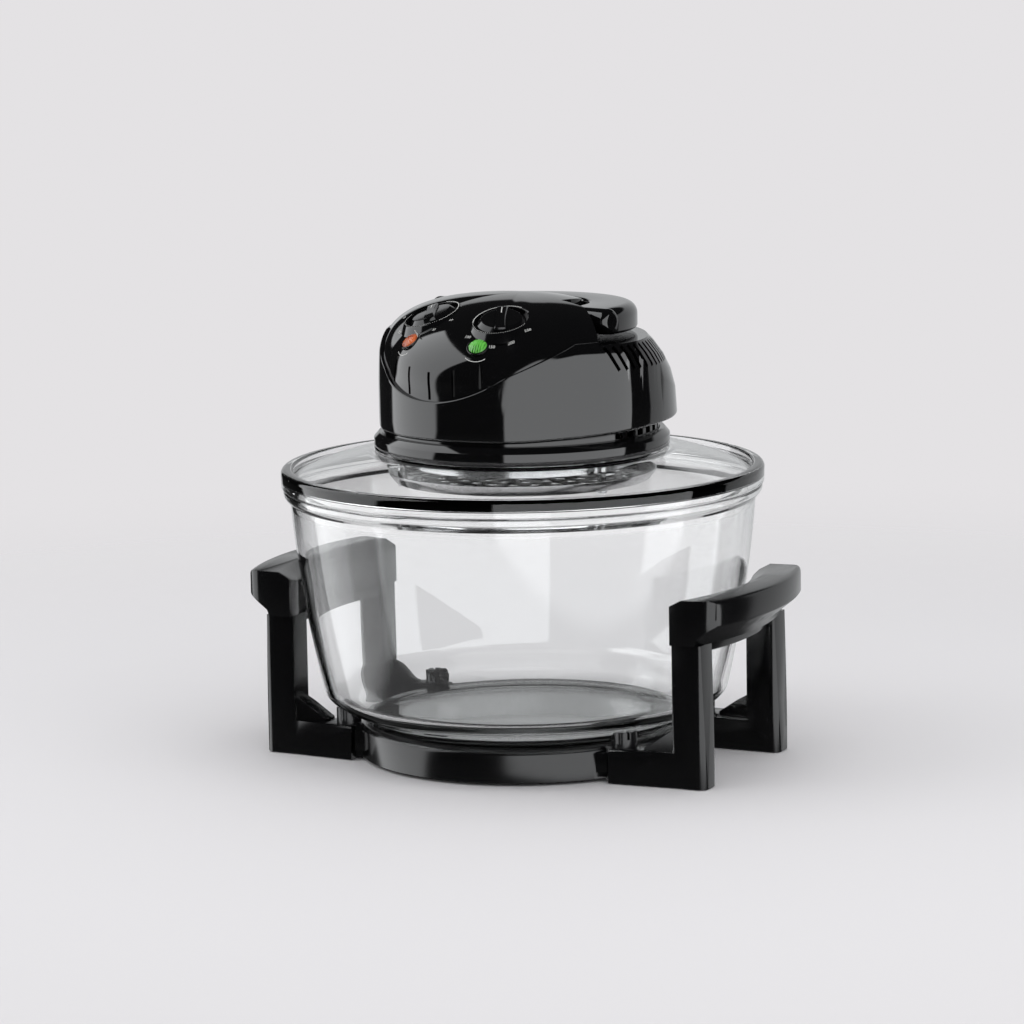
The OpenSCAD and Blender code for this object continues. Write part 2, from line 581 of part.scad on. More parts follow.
module head_housing() color([0.05, 0.05, 0.055]) head_place() difference() {
    union() {
        difference() {
            shell_solid();
            // The deck round the tongue, on which the handle lies
            translate([0, 0, deck_z]) linear_extrude(40) difference() {
                polygon([[deck_turn_x, deck_front], [rear_r + 10, deck_front - deck_sweep],
                    [rear_r + 10, rear_r + 20], [-rear_r - 10, rear_r + 20],
                    [-rear_r - 10, deck_front - deck_sweep], [-deck_turn_x, deck_front]]);
                circle(tongue_r);
            }
            cavity();
        }
        at_bosses() translate([0, 0, plate_top]) cylinder(r = 5, h = flange_z + 66 - plate_top);
    }
    at_bosses() translate([0, 0, plate_top - 1]) cylinder(r = 1.5 + run_gap, h = 10);
    for (s = sides) {
        at_dial(s) {
            translate([0, 0, -dial_seat_d]) cylinder(r = dial_r + 2.4, h = 12);
            translate([0, 0, -14]) cylinder(r = bush_dial_r + run_gap, h = 14);
            translate([0, 0, -dial_seat_d - dial_wall - 22]) cylinder(r = switch_r + 1.2, h = 22);
        }
        at_lamp(s) {
            translate([0, 0, -0.9]) cylinder(r = lamp_r + 1.5, h = 6);
            translate([0, 0, -18]) cylinder(r = lamp_r + run_gap, h = 20);
        }
        side_of(s) for (i = [0:slot_n - 1]) rotate([0, 0, slot_first - 90 + i * slot_step])
            translate([68, 0, deck_z - slot_drop]) rotate([slot_lean, 0, 0])
                translate([0, -slot_w / 2, -slot_l / 2]) cube([60, slot_w, slot_l]);
        translate([s * (tongue_r + 6), pivot_y, pivot_z]) rotate([0, -90 * s, 0])
            cylinder(r = pin_r + run_gap, h = 12.5);
    }
    half = (groove_n - 1) / 2;
    for (i = [-half:half]) let (a = i * groove_step) rotate([0, 0, a])
        translate([-groove_w / 2, -front_r - 2, crease_z(a) + 1.2])
            cube([groove_w, 7.2, groove_l]);
    translate([0, rear_r + 10, gland_z]) rotate([90, 0, 0]) cylinder(r = gland_r + run_gap, h = 40);
}
// The hollow of the housing, round the motor and the switches
module cavity() rotate_extrude() polygon([[0, flange_z], [neck_r + 0.6, flange_z],
    [neck_r + 0.6, neck_top + 1.2], [neck_r - 1.3, neck_top + 4], [neck_r - 1.3, flange_z + 37],
    [neck_r - 3.8, flange_z + 49], [neck_r - 10, flange_z + 61], [70, deck_z - 7.5],
    [tongue_r - 8, deck_z - 3.5], [tongue_r - 8, crown_z - 14.5], [0, crown_z - 11.5]]);

// Dials: a base, a grip bar and the spindle that turns in the switch's bush
module dial(s) color([0.04, 0.04, 0.045]) head_place() at_dial(s) {
    translate([0, 0, -dial_seat_d + 0.4]) {
        rotate_extrude() polygon([[0, 0], [dial_r, 0], [dial_r, 1.8], [dial_r - 1.2, 3], [0, 3.4]]);
        rotate([0, 0, s > 0 ? -20 : -62]) intersection() {
            translate([-dial_r, -3.6, 1]) cube([2 * dial_r, 7.2, dial_h + dial_seat_d]);
            rotate_extrude() polygon([[0, 0], [dial_r - 1.6, 0], [dial_r - 2.4, dial_h - 2],
                [dial_r - 4, dial_h - 0.3], [0, dial_h + 1]]);
        }
    }
    translate([0, 0, -dial_seat_d - dial_wall - spindle_in])
        cylinder(r = spindle_r, h = dial_wall + spindle_in + 1);
}
module timer_knob() dial(-1);
module thermostat_knob() dial(1);
// Switches: a round body under the wall and a bush up through it
module switch_unit(s, h) head_place() at_dial(s) difference() {
    union() {
        translate([0, 0, -dial_seat_d - dial_wall - h]) cylinder(r = switch_r, h = h);
        translate([0, 0, -dial_seat_d - dial_wall - 1]) cylinder(r = bush_dial_r, h = dial_wall + 0.8);
    }
    translate([0, 0, -dial_seat_d - dial_wall - spindle_in - 0.3])
        cylinder(r = spindle_r + run_gap, h = spindle_in + dial_wall + 5);
}
module timer_switch() color([0.75, 0.75, 0.72]) switch_unit(-1, timer_depth);
module thermostat_switch() color([0.8, 0.78, 0.7]) switch_unit(1, thermostat_depth);
// Lamps: a domed lens with a collar in its seat and a short body behind
module lamp(s) head_place() at_lamp(s) rotate_extrude() polygon(concat(
    [[0, -8], [lamp_r, -8], [lamp_r, -0.9], [lamp_r + 1.1, -0.9], [lamp_r + 1.1, -0.1],
    [lamp_r, 0.3]], [for (a = [15:15:75]) [lamp_r * cos(a), 0.3 + 2.2 * sin(a)]], [[0, 2.5]]));
module power_lamp() color([0.85, 0.25, 0.1, 0.9]) lamp(-1);
module heat_lamp() color([0.1, 0.6, 0.15, 0.9]) lamp(1);

// Carry handle: a bow round the tongue, on two pins
module carry_handle() color([0.05, 0.05, 0.055]) head_place() difference() {
    union() {
        translate([0, pivot_y, 0]) intersection() {
            rotate_extrude() translate([0, bail_low]) polygon(bail_section);
            translate([-bail_outer_r - 1, 0, 0]) cube([2 * bail_outer_r + 2, bail_outer_r + 1, crown_z]);
        }
        for (s = sides) translate([0, pivot_y, pivot_z]) rotate([0, 90 * s, 0])
            rotate_extrude() polygon(concat([[0, bail_inner_r], [bail_t / 2 - 1.5, bail_inner_r],
                [bail_t / 2, bail_inner_r + 1.5]],
                [for (a = [90:-15:15]) [bail_t / 2 - 8.8 + 8.8 * sin(a), bail_outer_r - 10 + 10 * cos(a)]],
                [[0, bail_outer_r]]));
    }
    for (s = sides) translate([s * (bail_inner_r - 1), pivot_y, pivot_z]) rotate([0, 90 * s, 0])
        cylinder(r = pin_r + run_gap, h = 11.3);
}
bail_section = concat([[bail_inner_r, 1.5], [bail_inner_r + 1.5, 0], [bail_outer_r - 1.5, 0],
    [bail_outer_r, 1.5]], [for (a = [0:15:90]) [bail_outer_r - 10, bail_t - 10] + polar(10, a)],
    [[bail_inner_r + 1.5, bail_t], [bail_inner_r, bail_t - 1.5]]);
module handle_pins() color([0.6, 0.6, 0.62]) head_place() for (s = sides)
    translate([s * (bail_inner_r + 10), pivot_y, pivot_z]) rotate([0, -90 * s, 0])
        cylinder(r = pin_r, h = 19);

// Motor, its bracket and the shaft that carries both fans
bush_r = 8;
fan_low = flange_z + 12.7;                          // cooling fan's lower face
cool_fan_h = 12;
bracket_z = fan_low + cool_fan_h + 3.5;
motor_z = bracket_z + 1.6;
bracket_r = 69;
shaft_low = tube_z - 4.5;
module motor() color([0.55, 0.56, 0.58]) head_place() translate([0, 0, motor_z]) difference() {
    union() {
        cylinder(r = 12, h = motor_h);
        cylinder(r = motor_r, h = motor_h * 0.18);
        translate([0, 0, motor_h * 0.18]) cylinder(r = motor_r - 4, h = motor_h * 0.64);
        translate([-motor_r + 3, -motor_r + 9, motor_h * 0.25])
            cube([2 * motor_r - 6, 2 * motor_r - 18, motor_h * 0.5]);
        translate([0, 0, motor_h * 0.82]) cylinder(r = motor_r - 9, h = motor_h * 0.14);
    }
    translate([0, 0, -1]) cylinder(r = shaft_r + run_gap, h = motor_h + 2);
}
module motor_bracket() color([0.7, 0.71, 0.72]) head_place() difference() {
    union() {
        translate([0, 0, bracket_z]) cylinder(r = motor_r + 3, h = 1.6);
        for (a = [0, 120, 240]) rotate([0, 0, a]) {
            translate([-7, -bracket_r, bracket_z]) cube([14, bracket_r - motor_r + 4, 1.6]);
            translate([-7, -bracket_r - 1.6, plate_top]) cube([14, 1.6, bracket_z + 1.6 - plate_top]);
            translate([-7, -bracket_r - 8, plate_top]) cube([14, 8, 1.6]);
        }
    }
    translate([0, 0, bracket_z - 1]) cylinder(r = 10, h = 5);
}
module fan_shaft() color([0.75, 0.75, 0.77]) head_place() translate([0, 0, shaft_low])
    cylinder(r = shaft_r, h = motor_z + motor_h + 3 - shaft_low);
module shaft_bush() color([0.72, 0.55, 0.3]) head_place() difference() {
    union() {
        translate([0, 0, flange_z]) cylinder(r = bush_r, h = flange_plate_t + 1);
        translate([0, 0, plate_top]) cylinder(r = bush_r + 3, h = 1.5);
    }
    translate([0, 0, flange_z - 1]) cylinder(r = shaft_r + run_gap, h = 12);
}
module cooling_fan() color([0.25, 0.25, 0.26]) head_place() translate([0, 0, fan_low]) difference() {
    union() {
        cylinder(r = 10, h = cool_fan_h);
        for (i = [0:cool_fan_n - 1]) rotate([0, 0, i * 360 / cool_fan_n])
            translate([6, 0, cool_fan_h / 2]) rotate([35, 0, 0])
                translate([0, -7.5, -0.7]) cube([cool_fan_r - 6, 15, 1.4]);
    }
    translate([0, 0, -1]) cylinder(r = shaft_r + 0.02, h = cool_fan_h + 2);
}
hot_fan_h = 9.6;
module hot_air_fan() color([0.7, 0.7, 0.72]) head_place() translate([0, 0, shaft_low]) difference() {
    union() {
        cylinder(r = 7, h = hot_fan_h);
        translate([0, 0, hot_fan_h - 1]) cylinder(r = fan_r * 0.6, h = 1);
        for (i = [0:fan_n - 1]) rotate([0, 0, i * 360 / fan_n])
            translate([4, -0.5, 0]) cube([fan_r - 4, 1, hot_fan_h]);
    }
    translate([0, 0, -1]) cylinder(r = shaft_r + 0.02, h = hot_fan_h + 2);
}

// Reflector dish, under the flange
sheet = 0.8;
module reflector_dish() color([0.8, 0.8, 0.82]) head_place() difference() {
    rotate_extrude() polygon([[10, reflector_top - sheet], [reflector_r - 8, reflector_top - sheet],
        [reflector_r - 3, reflector_top - 2.4], [reflector_r - sheet - 0.6, reflector_top - 6],
        [reflector_r - sheet, reflector_top - reflector_h], [reflector_r, reflector_top - reflector_h],
        [reflector_r, reflector_top - 5.6], [reflector_r - 2.2, reflector_top - 1.6],
        [reflector_r - 7.4, reflector_top], [10, reflector_top]]);
}
holder_size = [12, 15, 14];
tube_end = 166;
module at_holders() for (s = sides) rotate([0, 0, s * 171]) translate([0, -tube_ring_r, 0]) children();
module halogen_tube() color([0.95, 0.9, 0.8, 0.6]) head_place() translate([0, 0, tube_z])
    rotate([0, 0, -90 - tube_end]) rotate_extrude(angle = 2 * tube_end)
        translate([tube_ring_r, 0]) circle(tube_r, $fn = 48);
module lamp_holders() color([0.9, 0.88, 0.84]) head_place() difference() {
    at_holders() translate([-holder_size[0] / 2, -holder_size[1] / 2, tube_z - 6.6])
        cube([holder_size[0], holder_size[1], reflector_top - sheet - tube_z + 6.6]);
    translate([0, 0, tube_z]) rotate([0, 0, -90 - tube_end - 0.5])
        rotate_extrude(angle = 2 * tube_end + 1)
            translate([tube_ring_r, 0]) circle(tube_r + 0.1, $fn = 48);
}

// Guard tray: a perforated dish under the lamp tube
guard_floor_r = guard_r - 5;
module guard_tray() color([0.75, 0.75, 0.77]) head_place() {
    translate([0, 0, guard_low]) linear_extrude(guard_t) difference() {
        circle(guard_floor_r);
        for (i = [1:guard_rings], k = [0:6 * i - 1])
            translate(polar(14 * i, k * 60 / i + 7 * i)) circle(3.2);
        for (a = post_angles()) translate(polar(post_ring_r, a - 90)) circle(guard_screw_r + run_gap);
        circle(3.2);
    }
    rotate_extrude() polygon([[guard_floor_r - 0.5, guard_low], [guard_floor_r + 0.4, guard_low],
        [guard_r - 0.6, guard_low + 5], [guard_r, guard_rim_z], [guard_r - guard_t, guard_rim_z],
        [guard_r - guard_t - 0.7, guard_low + 5.4], [guard_floor_r, guard_low + guard_t],
        [guard_floor_r - 0.5, guard_low + guard_t]]);
}
guard_screw_r = 1.5;
// Guard posts: tubes with an ear that clamps the lid's glass to the flange
module guard_posts() color([0.7, 0.7, 0.72]) head_place() at_posts() difference() {
    union() {
        translate([0, 0, guard_low + guard_t]) cylinder(r = post_r, h = flange_z - guard_low - guard_t);
        translate([-5, -(lid_hole_r + 2.5 - post_ring_r), lid_low - 2.1])
            cube([10, lid_hole_r + 2.5 - post_ring_r, 1.5]);
    }
    translate([0, 0, guard_low]) cylinder(r = guard_screw_r + run_gap, h = flange_z - guard_low + 1);
}
module guard_screws() color([0.6, 0.6, 0.62]) head_place() at_posts() {
    translate([0, 0, guard_low - 1.8]) cylinder(r = screw_r, h = 1.8);
    translate([0, 0, guard_low - 0.5]) cylinder(r = guard_screw_r, h = plate_top - 0.5 - guard_low);
}
module housing_screws() color([0.6, 0.6, 0.62]) head_place() at_bosses() {
    translate([0, 0, flange_z + 0.1]) cylinder(r = screw_r, h = screw_head_h);
    translate([0, 0, flange_z + 1]) cylinder(r = 1.5, h = 10);
}

// Terminal block on the flange, and the gland through the rear wall
gland_z = flange_z + 30;
gland_r = 7;
cord_r = 3.4;
module terminal_block() color([0.85, 0.83, 0.78]) head_place() translate([-14, neck_r - 23.8, plate_top]) difference() {
    cube([28, 13, 9]);
    for (i = [0:2]) translate([5 + 9 * i, 6.5, 4]) cylinder(r = 1.8, h = 6);
}
module cord_gland() color([0.08, 0.08, 0.08]) head_place() translate([0, 0, gland_z]) difference() {
    union() {
        translate([0, rear_r + 13, 0]) rotate([90, 0, 0]) cylinder(r = gland_r - 1, h = 30);
        translate([0, rear_r + 2, 0]) rotate([90, 0, 0]) cylinder(r = gland_r, h = 18);
        translate([0, rear_r + 3, 0]) rotate([90, 0, 0]) cylinder(r = gland_r + 2.5, h = 2.8);
    }
    translate([0, rear_r + 20, 0]) rotate([90, 0, 0]) cylinder(r = cord_r, h = 40);
}

base_ring();
frame_side();  // frame_right
side_of(-1) frame_side();  // frame_left
grip_side();  // grip_right
side_of(-1) grip_side();  // grip_left
locating_pegs();
rubber_pads();
stand_screws();
glass_bowl();
glass_lid();
lid_gasket();
head_flange();
vent_neck();
head_housing();
timer_knob();
thermostat_knob();
timer_switch();
thermostat_switch();
power_lamp();
heat_lamp();
carry_handle();
handle_pins();
motor();
motor_bracket();
fan_shaft();
shaft_bush();
cooling_fan();
hot_air_fan();
reflector_dish();
lamp_holders();
halogen_tube();
guard_tray();
guard_posts();
guard_screws();
housing_screws();
terminal_block();
cord_gland();
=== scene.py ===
"""A halogen oven: its finish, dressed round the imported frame. Metres, +Z up, the front toward -Y."""

from math import asin, atan2, cos, degrees, hypot, pi, radians, sin, sqrt, tan

import bmesh
import bpy
from mathutils import Matrix, Vector
from mathutils.bvhtree import BVHTree


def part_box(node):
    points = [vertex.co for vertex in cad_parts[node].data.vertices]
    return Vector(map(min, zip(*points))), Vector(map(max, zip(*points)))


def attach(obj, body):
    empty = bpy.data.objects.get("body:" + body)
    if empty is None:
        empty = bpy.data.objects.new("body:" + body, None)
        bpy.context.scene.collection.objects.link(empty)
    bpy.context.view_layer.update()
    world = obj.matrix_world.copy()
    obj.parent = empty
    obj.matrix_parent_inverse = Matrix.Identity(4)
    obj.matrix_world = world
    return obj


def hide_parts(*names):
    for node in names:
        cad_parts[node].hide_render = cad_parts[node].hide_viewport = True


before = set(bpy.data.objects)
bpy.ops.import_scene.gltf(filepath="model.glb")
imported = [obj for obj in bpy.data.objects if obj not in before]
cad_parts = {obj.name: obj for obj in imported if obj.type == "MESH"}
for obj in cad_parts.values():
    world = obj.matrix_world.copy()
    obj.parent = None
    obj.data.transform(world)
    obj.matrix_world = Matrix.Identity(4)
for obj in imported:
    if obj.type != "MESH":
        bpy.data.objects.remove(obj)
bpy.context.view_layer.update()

# The view
# A long lens looks down a little on the oven from its front right, as the photograph does.
# The camera is a hair off level, which is its roll.
view_turn, view_rise, view_roll = radians(26.34), radians(9.16), radians(-0.99)
view_distance, view_lens = 2.9255, 150.2
view_aim_side, view_aim_height = -0.00774, 0.16666


def linked(name, data):
    """A new object of that data, in the scene."""
    one = bpy.data.objects.new(name, data)
    bpy.context.collection.objects.link(one)
    return one


def away(turn, rise):
    """The direction from the oven at a turn from its front, counter-clockwise, and a rise."""
    return Vector((sin(turn) * cos(rise), -cos(turn) * cos(rise), sin(rise)))


back = away(view_turn, view_rise)
right = Vector((cos(view_turn), sin(view_turn), 0))
up = back.cross(right)
camera = linked("camera", bpy.data.cameras.new("camera"))
camera.data.lens = view_lens
camera.data.clip_end = 50
place = Matrix.Identity(4)
columns = (right * cos(view_roll) + up * sin(view_roll),
           up * cos(view_roll) - right * sin(view_roll), back,
           Vector((0, 0, view_aim_height)) + right * view_aim_side + back * view_distance)
for i, column in enumerate(columns):
    place.col[i][:3] = column
camera.matrix_world = place
bpy.context.scene.camera = camera
bpy.context.scene.view_settings.view_transform = "Standard"

# The studio
# A pale paper floor that fades into a pale backdrop, with even light from all round. The glossy
# black plastic mirrors a dim room instead, with a tall soft box on the left, a low one on the right
# and the pale wall behind, as it does in the photograph.
floor_half, floor_fade_start, floor_fade_end = 6.0, 0.45, 1.25
floor_colour, backdrop_colour = (0.80, 0.785, 0.80, 1), (0.775, 0.76, 0.775, 1)
light_colour, light_strength = (0.98, 0.99, 1.0, 1), 0.71
mirrored_colour, mirrored_glow, mirrored_floor_glow = (0.97, 0.985, 1.0, 1), 0.015, 0.06
box_softness = 0.08
# Each soft box: turn in degrees, then its middle, half width, flare, bottom and top as shares of
# its distance, and its brightness
soft_boxes = ((-70, -0.1, 0.62, 0.34, -0.55, 1.62, 2.2),
              (60, 0.1, 1.25, 0.0, -0.55, 0.5, 2.3),
              (180, 0.0, 0.95, 0.0, -0.6, 0.5, 0.6))
panel_aim = Vector((0, 0, 0.2))


def feed(one, inputs):
    """Each named input of a node gets a value, or a link where it is another node's socket."""
    for name, value in inputs.items():
        if isinstance(value, bpy.types.NodeSocket):
            one.id_data.links.new(value, one.inputs[name])
        else:
            one.inputs[name].default_value = value


def add_node(tree, kind, inputs=None, **settings):
    """A new node with its settings and inputs."""
    made = tree.nodes.new(kind)
    for name, value in settings.items():
        setattr(made, name, value)
    feed(made, inputs or {})
    return made


def shader(name, inputs):
    """A new material, its node tree, and its Principled shader with these inputs."""
    made = bpy.data.materials.new(name)
    made.use_nodes = True
    surface = made.node_tree.nodes["Principled BSDF"]
    feed(surface, inputs)
    return made, made.node_tree, surface


def maths(tree, kind, *sides):
    """The result of a Math node; each side is a number or a socket."""
    return add_node(tree, "ShaderNodeMath", dict(enumerate(sides)), operation=kind).outputs[0]


def spread(tree, value, start, end, low=0.0, high=1.0, kind="LINEAR"):
    """From low at the start of a value's stretch to high at its end."""
    return add_node(tree, "ShaderNodeMapRange", {"Value": value, "From Min": start, "From Max": end,
                    "To Min": low, "To Max": high}, interpolation_type=kind).outputs["Result"]


def soft_step(tree, value, start, end):
    """From 0 at the start to 1 at the end, with soft corners."""
    return spread(tree, value, start, end, kind="SMOOTHSTEP")


def spot(tree):
    """The point on the object, or the direction in the world."""
    return add_node(tree, "ShaderNodeTexCoord").outputs["Object"]


def mixed(tree, share, one, two):
    """Two shaders, blended by a share."""
    return add_node(tree, "ShaderNodeMixShader", {0: share, 1: one, 2: two}).outputs[0]


def soft_box(tree, direction, turn, middle, half_width, flare, bottom, top):
    """The share of a soft box in a direction of the sky, square on to a turn about the oven."""
    facing = add_node(tree, "ShaderNodeVectorRotate", {"Vector": direction, "Angle": -radians(turn)},
                      rotation_type="Z_AXIS")
    parts = add_node(tree, "ShaderNodeSeparateXYZ", {0: facing.outputs[0]}).outputs
    ahead = maths(tree, "MAXIMUM", maths(tree, "MULTIPLY", parts["Y"], -1), 0.02)
    rise = maths(tree, "DIVIDE", parts["Z"], ahead)
    across = maths(tree, "SUBTRACT", maths(tree, "DIVIDE", parts["X"], ahead), middle)
    half = maths(tree, "MULTIPLY_ADD", flare, rise, half_width)
    share = 1.0
    for inside in (maths(tree, "SUBTRACT", half, maths(tree, "ABSOLUTE", across)),
                   maths(tree, "SUBTRACT", rise, bottom), maths(tree, "SUBTRACT", top, rise)):
        share = maths(tree, "MULTIPLY", share, soft_step(tree, inside, 0, box_softness))
    return share


floor_mesh = bpy.data.meshes.new("floor")
floor_mesh.from_pydata([(x * floor_half, y * floor_half, 0) for x, y in ((-1, -1), (1, -1), (1, 1), (-1, 1))],
                       [], [(0, 1, 2, 3)])
floor = linked("floor", floor_mesh)
floor_paper, tree, surface = shader("floor_paper", {
    "Base Color": floor_colour, "Roughness": 0.8, "Specular IOR Level": 0.1})
reach = add_node(tree, "ShaderNodeVectorMath", {0: spot(tree)}, operation="LENGTH").outputs["Value"]
faded = mixed(tree, soft_step(tree, reach, floor_fade_start, floor_fade_end), surface.outputs[0],
              add_node(tree, "ShaderNodeBsdfTransparent").outputs[0])
feed(tree.nodes["Material Output"], {"Surface": faded})
floor_mesh.materials.append(floor_paper)
floor.visible_glossy = False

world = bpy.data.worlds.new("studio")
bpy.context.scene.world = world
world.use_nodes = True
tree = world.node_tree
lit = tree.nodes["Background"]
feed(lit, {"Color": light_colour, "Strength": light_strength})
seen = add_node(tree, "ShaderNodeBackground", {"Color": backdrop_colour})
direction = spot(tree)
height = add_node(tree, "ShaderNodeSeparateXYZ", {0: direction}).outputs["Z"]
below = soft_step(tree, maths(tree, "MULTIPLY", height, -1), 0.05, 0.5)
glow = maths(tree, "MULTIPLY_ADD", below, mirrored_floor_glow, mirrored_glow)
for *box, power in soft_boxes:
    glow = maths(tree, "MULTIPLY_ADD", soft_box(tree, direction, *box), power, glow)
mirrored = add_node(tree, "ShaderNodeBackground", {"Color": mirrored_colour, "Strength": glow})
# Straight through glass the backdrop is seen, and the soft boxes where the glass mirrors them
path = add_node(tree, "ShaderNodeLightPath").outputs
thrown = maths(tree, "GREATER_THAN", path["Glossy Depth"], 0.5)
through = path["Is Transmission Ray"]
straight = maths(tree, "MULTIPLY", through, maths(tree, "SUBTRACT", 1, thrown))
direct = maths(tree, "MAXIMUM", path["Is Camera Ray"], straight)
shining = maths(tree, "MAXIMUM", path["Is Glossy Ray"], maths(tree, "MULTIPLY", through, thrown))
sky = mixed(tree, direct, mixed(tree, shining, lit.outputs[0], mirrored.outputs[0]), seen.outputs[0])
feed(tree.nodes["World Output"], {"Surface": sky})


def soft_panel(name, turn, rise, distance, wide, high, power):
    """An area light that looks at the middle of the oven from a turn and a rise in degrees."""
    lamp = bpy.data.lights.new(name, "AREA")
    lamp.shape = "RECTANGLE"
    lamp.size, lamp.size_y, lamp.energy = wide, high, power
    one = linked(name, lamp)
    toward = away(radians(turn), radians(rise))
    one.rotation_mode = "QUATERNION"
    one.rotation_quaternion = toward.to_track_quat("Z", "Y")
    one.location = panel_aim + toward * distance
    one.visible_glossy = False


soft_panel("panel_left", -60, 40, 1.7, 0.9, 1.3, 5)
soft_panel("panel_right", 70, 40, 1.7, 1.0, 1.3, 5)
soft_panel("panel_above", 30, 84, 1.8, 1.4, 1.4, 6)

# Base ring
# The ring under the bowl is one black moulding, a channel that is open below, with a rounded upper
# edge. The moulded finish is shared by every plastic piece: faint ripples from the mould, a fine
# skin that breaks the shine a little, and patches where hands have dulled it.
ring_edge = 0.0006
stand_black = (0.0032, 0.0032, 0.0036, 1)


def noise(tree, scale, detail=2.0, roughness=0.5, point=None):
    """Noise over the piece, or over a point that has been moved or stretched."""
    return add_node(tree, "ShaderNodeTexNoise", {"Vector": spot(tree) if point is None else point,
                    "Scale": scale, "Detail": detail, "Roughness": roughness}).outputs[0]


def bumped(tree, height, distance, strength=1.0):
    """The normal of a surface with this height."""
    return add_node(tree, "ShaderNodeBump", {"Height": height, "Distance": distance,
                    "Strength": strength}).outputs["Normal"]


def node_group(name, kind, inputs, outputs):
    """A new node group with named sockets: the group, what it is given and where it ends."""
    group = bpy.data.node_groups.new(name, kind)
    for in_out, sockets in (("INPUT", inputs), ("OUTPUT", outputs)):
        for title, socket in sockets.items():
            group.interface.new_socket(title, in_out=in_out, socket_type="NodeSocket" + socket)
    return group, add_node(group, "NodeGroupInput").outputs, add_node(group, "NodeGroupOutput")


def moulded_finish():
    """The node group of the moulded finish: roughness and height over the surface."""
    group, given, end = node_group("moulded_finish", "ShaderNodeTree", {
        "Polish": "Float", "Smudge": "Float", "Ripple": "Float", "Skin": "Float"},
        {"Roughness": "Float", "Height": "Float"})
    patches = spread(group, noise(group, 23.0, 6.0, 0.65), 0.48, 0.72)
    waves = noise(group, given["Ripple"], 1.5)
    feed(end, {"Roughness": maths(group, "MULTIPLY_ADD", patches, given["Smudge"], given["Polish"]),
               "Height": maths(group, "MULTIPLY_ADD", noise(group, given["Skin"]), 0.05, waves)})
    return group


moulded = moulded_finish()


def moulded_plastic(name, colour, polish, smudge=0.06, skin=900.0, level=0.5):
    """A moulded plastic of one colour with the shared finish."""
    made, tree, surface = shader(name, {"Base Color": colour, "IOR": 1.5, "Specular IOR Level": level})
    finish = add_node(tree, "ShaderNodeGroup", node_tree=moulded)
    feed(finish, {"Polish": polish, "Smudge": smudge, "Ripple": 18.0, "Skin": skin})
    feed(surface, {"Roughness": finish.outputs["Roughness"],
                   "Normal": bumped(tree, finish.outputs["Height"], 0.00012, 0.5)})
    return made


def smooth(mesh, angle):
    """Smooth shading, with an edge kept sharp where its faces meet at more than the angle."""
    mesh.polygons.foreach_set("use_smooth", [True] * len(mesh.polygons))
    mesh.set_sharp_from_angle(angle=radians(angle))
    mesh.update()


def mesh_of(name, form, angle=None, outward=True):
    """A worked form as a mesh, faces turned outward; with an angle, shaded smooth up to it."""
    if outward:
        bmesh.ops.recalc_face_normals(form, faces=form.faces)
    mesh = bpy.data.meshes.new(name)
    form.to_mesh(mesh)
    form.free()
    if angle is not None:
        smooth(mesh, angle)
    return mesh


def frozen(one):
    """The object's modifiers, worked into a plain mesh."""
    depsgraph = bpy.context.evaluated_depsgraph_get()
    mesh = bpy.data.meshes.new_from_object(one.evaluated_get(depsgraph))
    bpy.data.objects.remove(one)
    return mesh


def piece(name, mesh, body, material, node=None):
    """An object of that mesh that rides on a body and stands for the node it replaces."""
    one = linked(name, mesh)
    mesh.materials.clear()
    mesh.materials.append(material)
    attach(one, body)
    if node:
        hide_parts(node)


def eased_piece(name, node, edge, body, material, segments=3):
    """A node's own shape, merged, with every hard edge eased as a mould or a die leaves it."""
    form = bmesh.new()
    form.from_mesh(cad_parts[node].data)
    bmesh.ops.remove_doubles(form, verts=form.verts, dist=2e-6)
    bmesh.ops.dissolve_limit(form, angle_limit=radians(0.6), verts=form.verts, edges=form.edges)
    one = linked(name, mesh_of(name, form, outward=False))
    ease = one.modifiers.new("ease", "BEVEL")
    ease.width, ease.segments = edge, segments
    ease.limit_method, ease.angle_limit = "ANGLE", radians(34)
    mesh = frozen(one)
    smooth(mesh, 30)
    piece(name, mesh, body, material, node)


stand_plastic = moulded_plastic("stand_plastic", stand_black, 0.17, smudge=0.08)
eased_piece("stand_ring", "base_ring", ring_edge, "stand", stand_plastic)

# Side frames
# Each side of the stand is one moulding: two feet that reach in to the ring, two legs with a web in
# the angle, and the rail between them. It has the ring's plastic and generously eased edges.
frame_edge = 0.0014
for side in ("right", "left"):
    eased_piece("stand_frame_" + side, "frame_" + side, frame_edge, "stand", stand_plastic)

# Grips
# A grip is a separate curved bar, screwed down on the legs from under the rail. Its upper face is
# chamfered toward the bowl, and all its edges are rounded for the hand.
grip_edge = 0.0016
for side in ("right", "left"):
    eased_piece("stand_grip_" + side, "grip_" + side, grip_edge, "stand", stand_plastic)

# Locating pegs
# Four pegs, each split in four lobes and cut to the bowl's curve, centre the bowl on the ring.
# They are pressed into the feet and have the same plastic, a little duller.
peg_edge = 0.0004
peg_plastic = moulded_plastic("peg_plastic", (0.011, 0.011, 0.012, 1), 0.24, smudge=0.05)
eased_piece("bowl_pegs", "locating_pegs", peg_edge, "stand", peg_plastic)

# Rubber pads
# A flat pad of dull, dusty black rubber is pressed into a pocket under each leg.
pad_edge = 0.0005


def blended(tree, value, *stops):
    """A colour that changes with a value between two stops, each a position and a colour."""
    ramp = add_node(tree, "ShaderNodeValToRGB", {"Fac": value})
    for point, (position, colour) in zip(ramp.color_ramp.elements, stops):
        point.position = position
        point.color = colour
    return ramp.outputs["Color"]


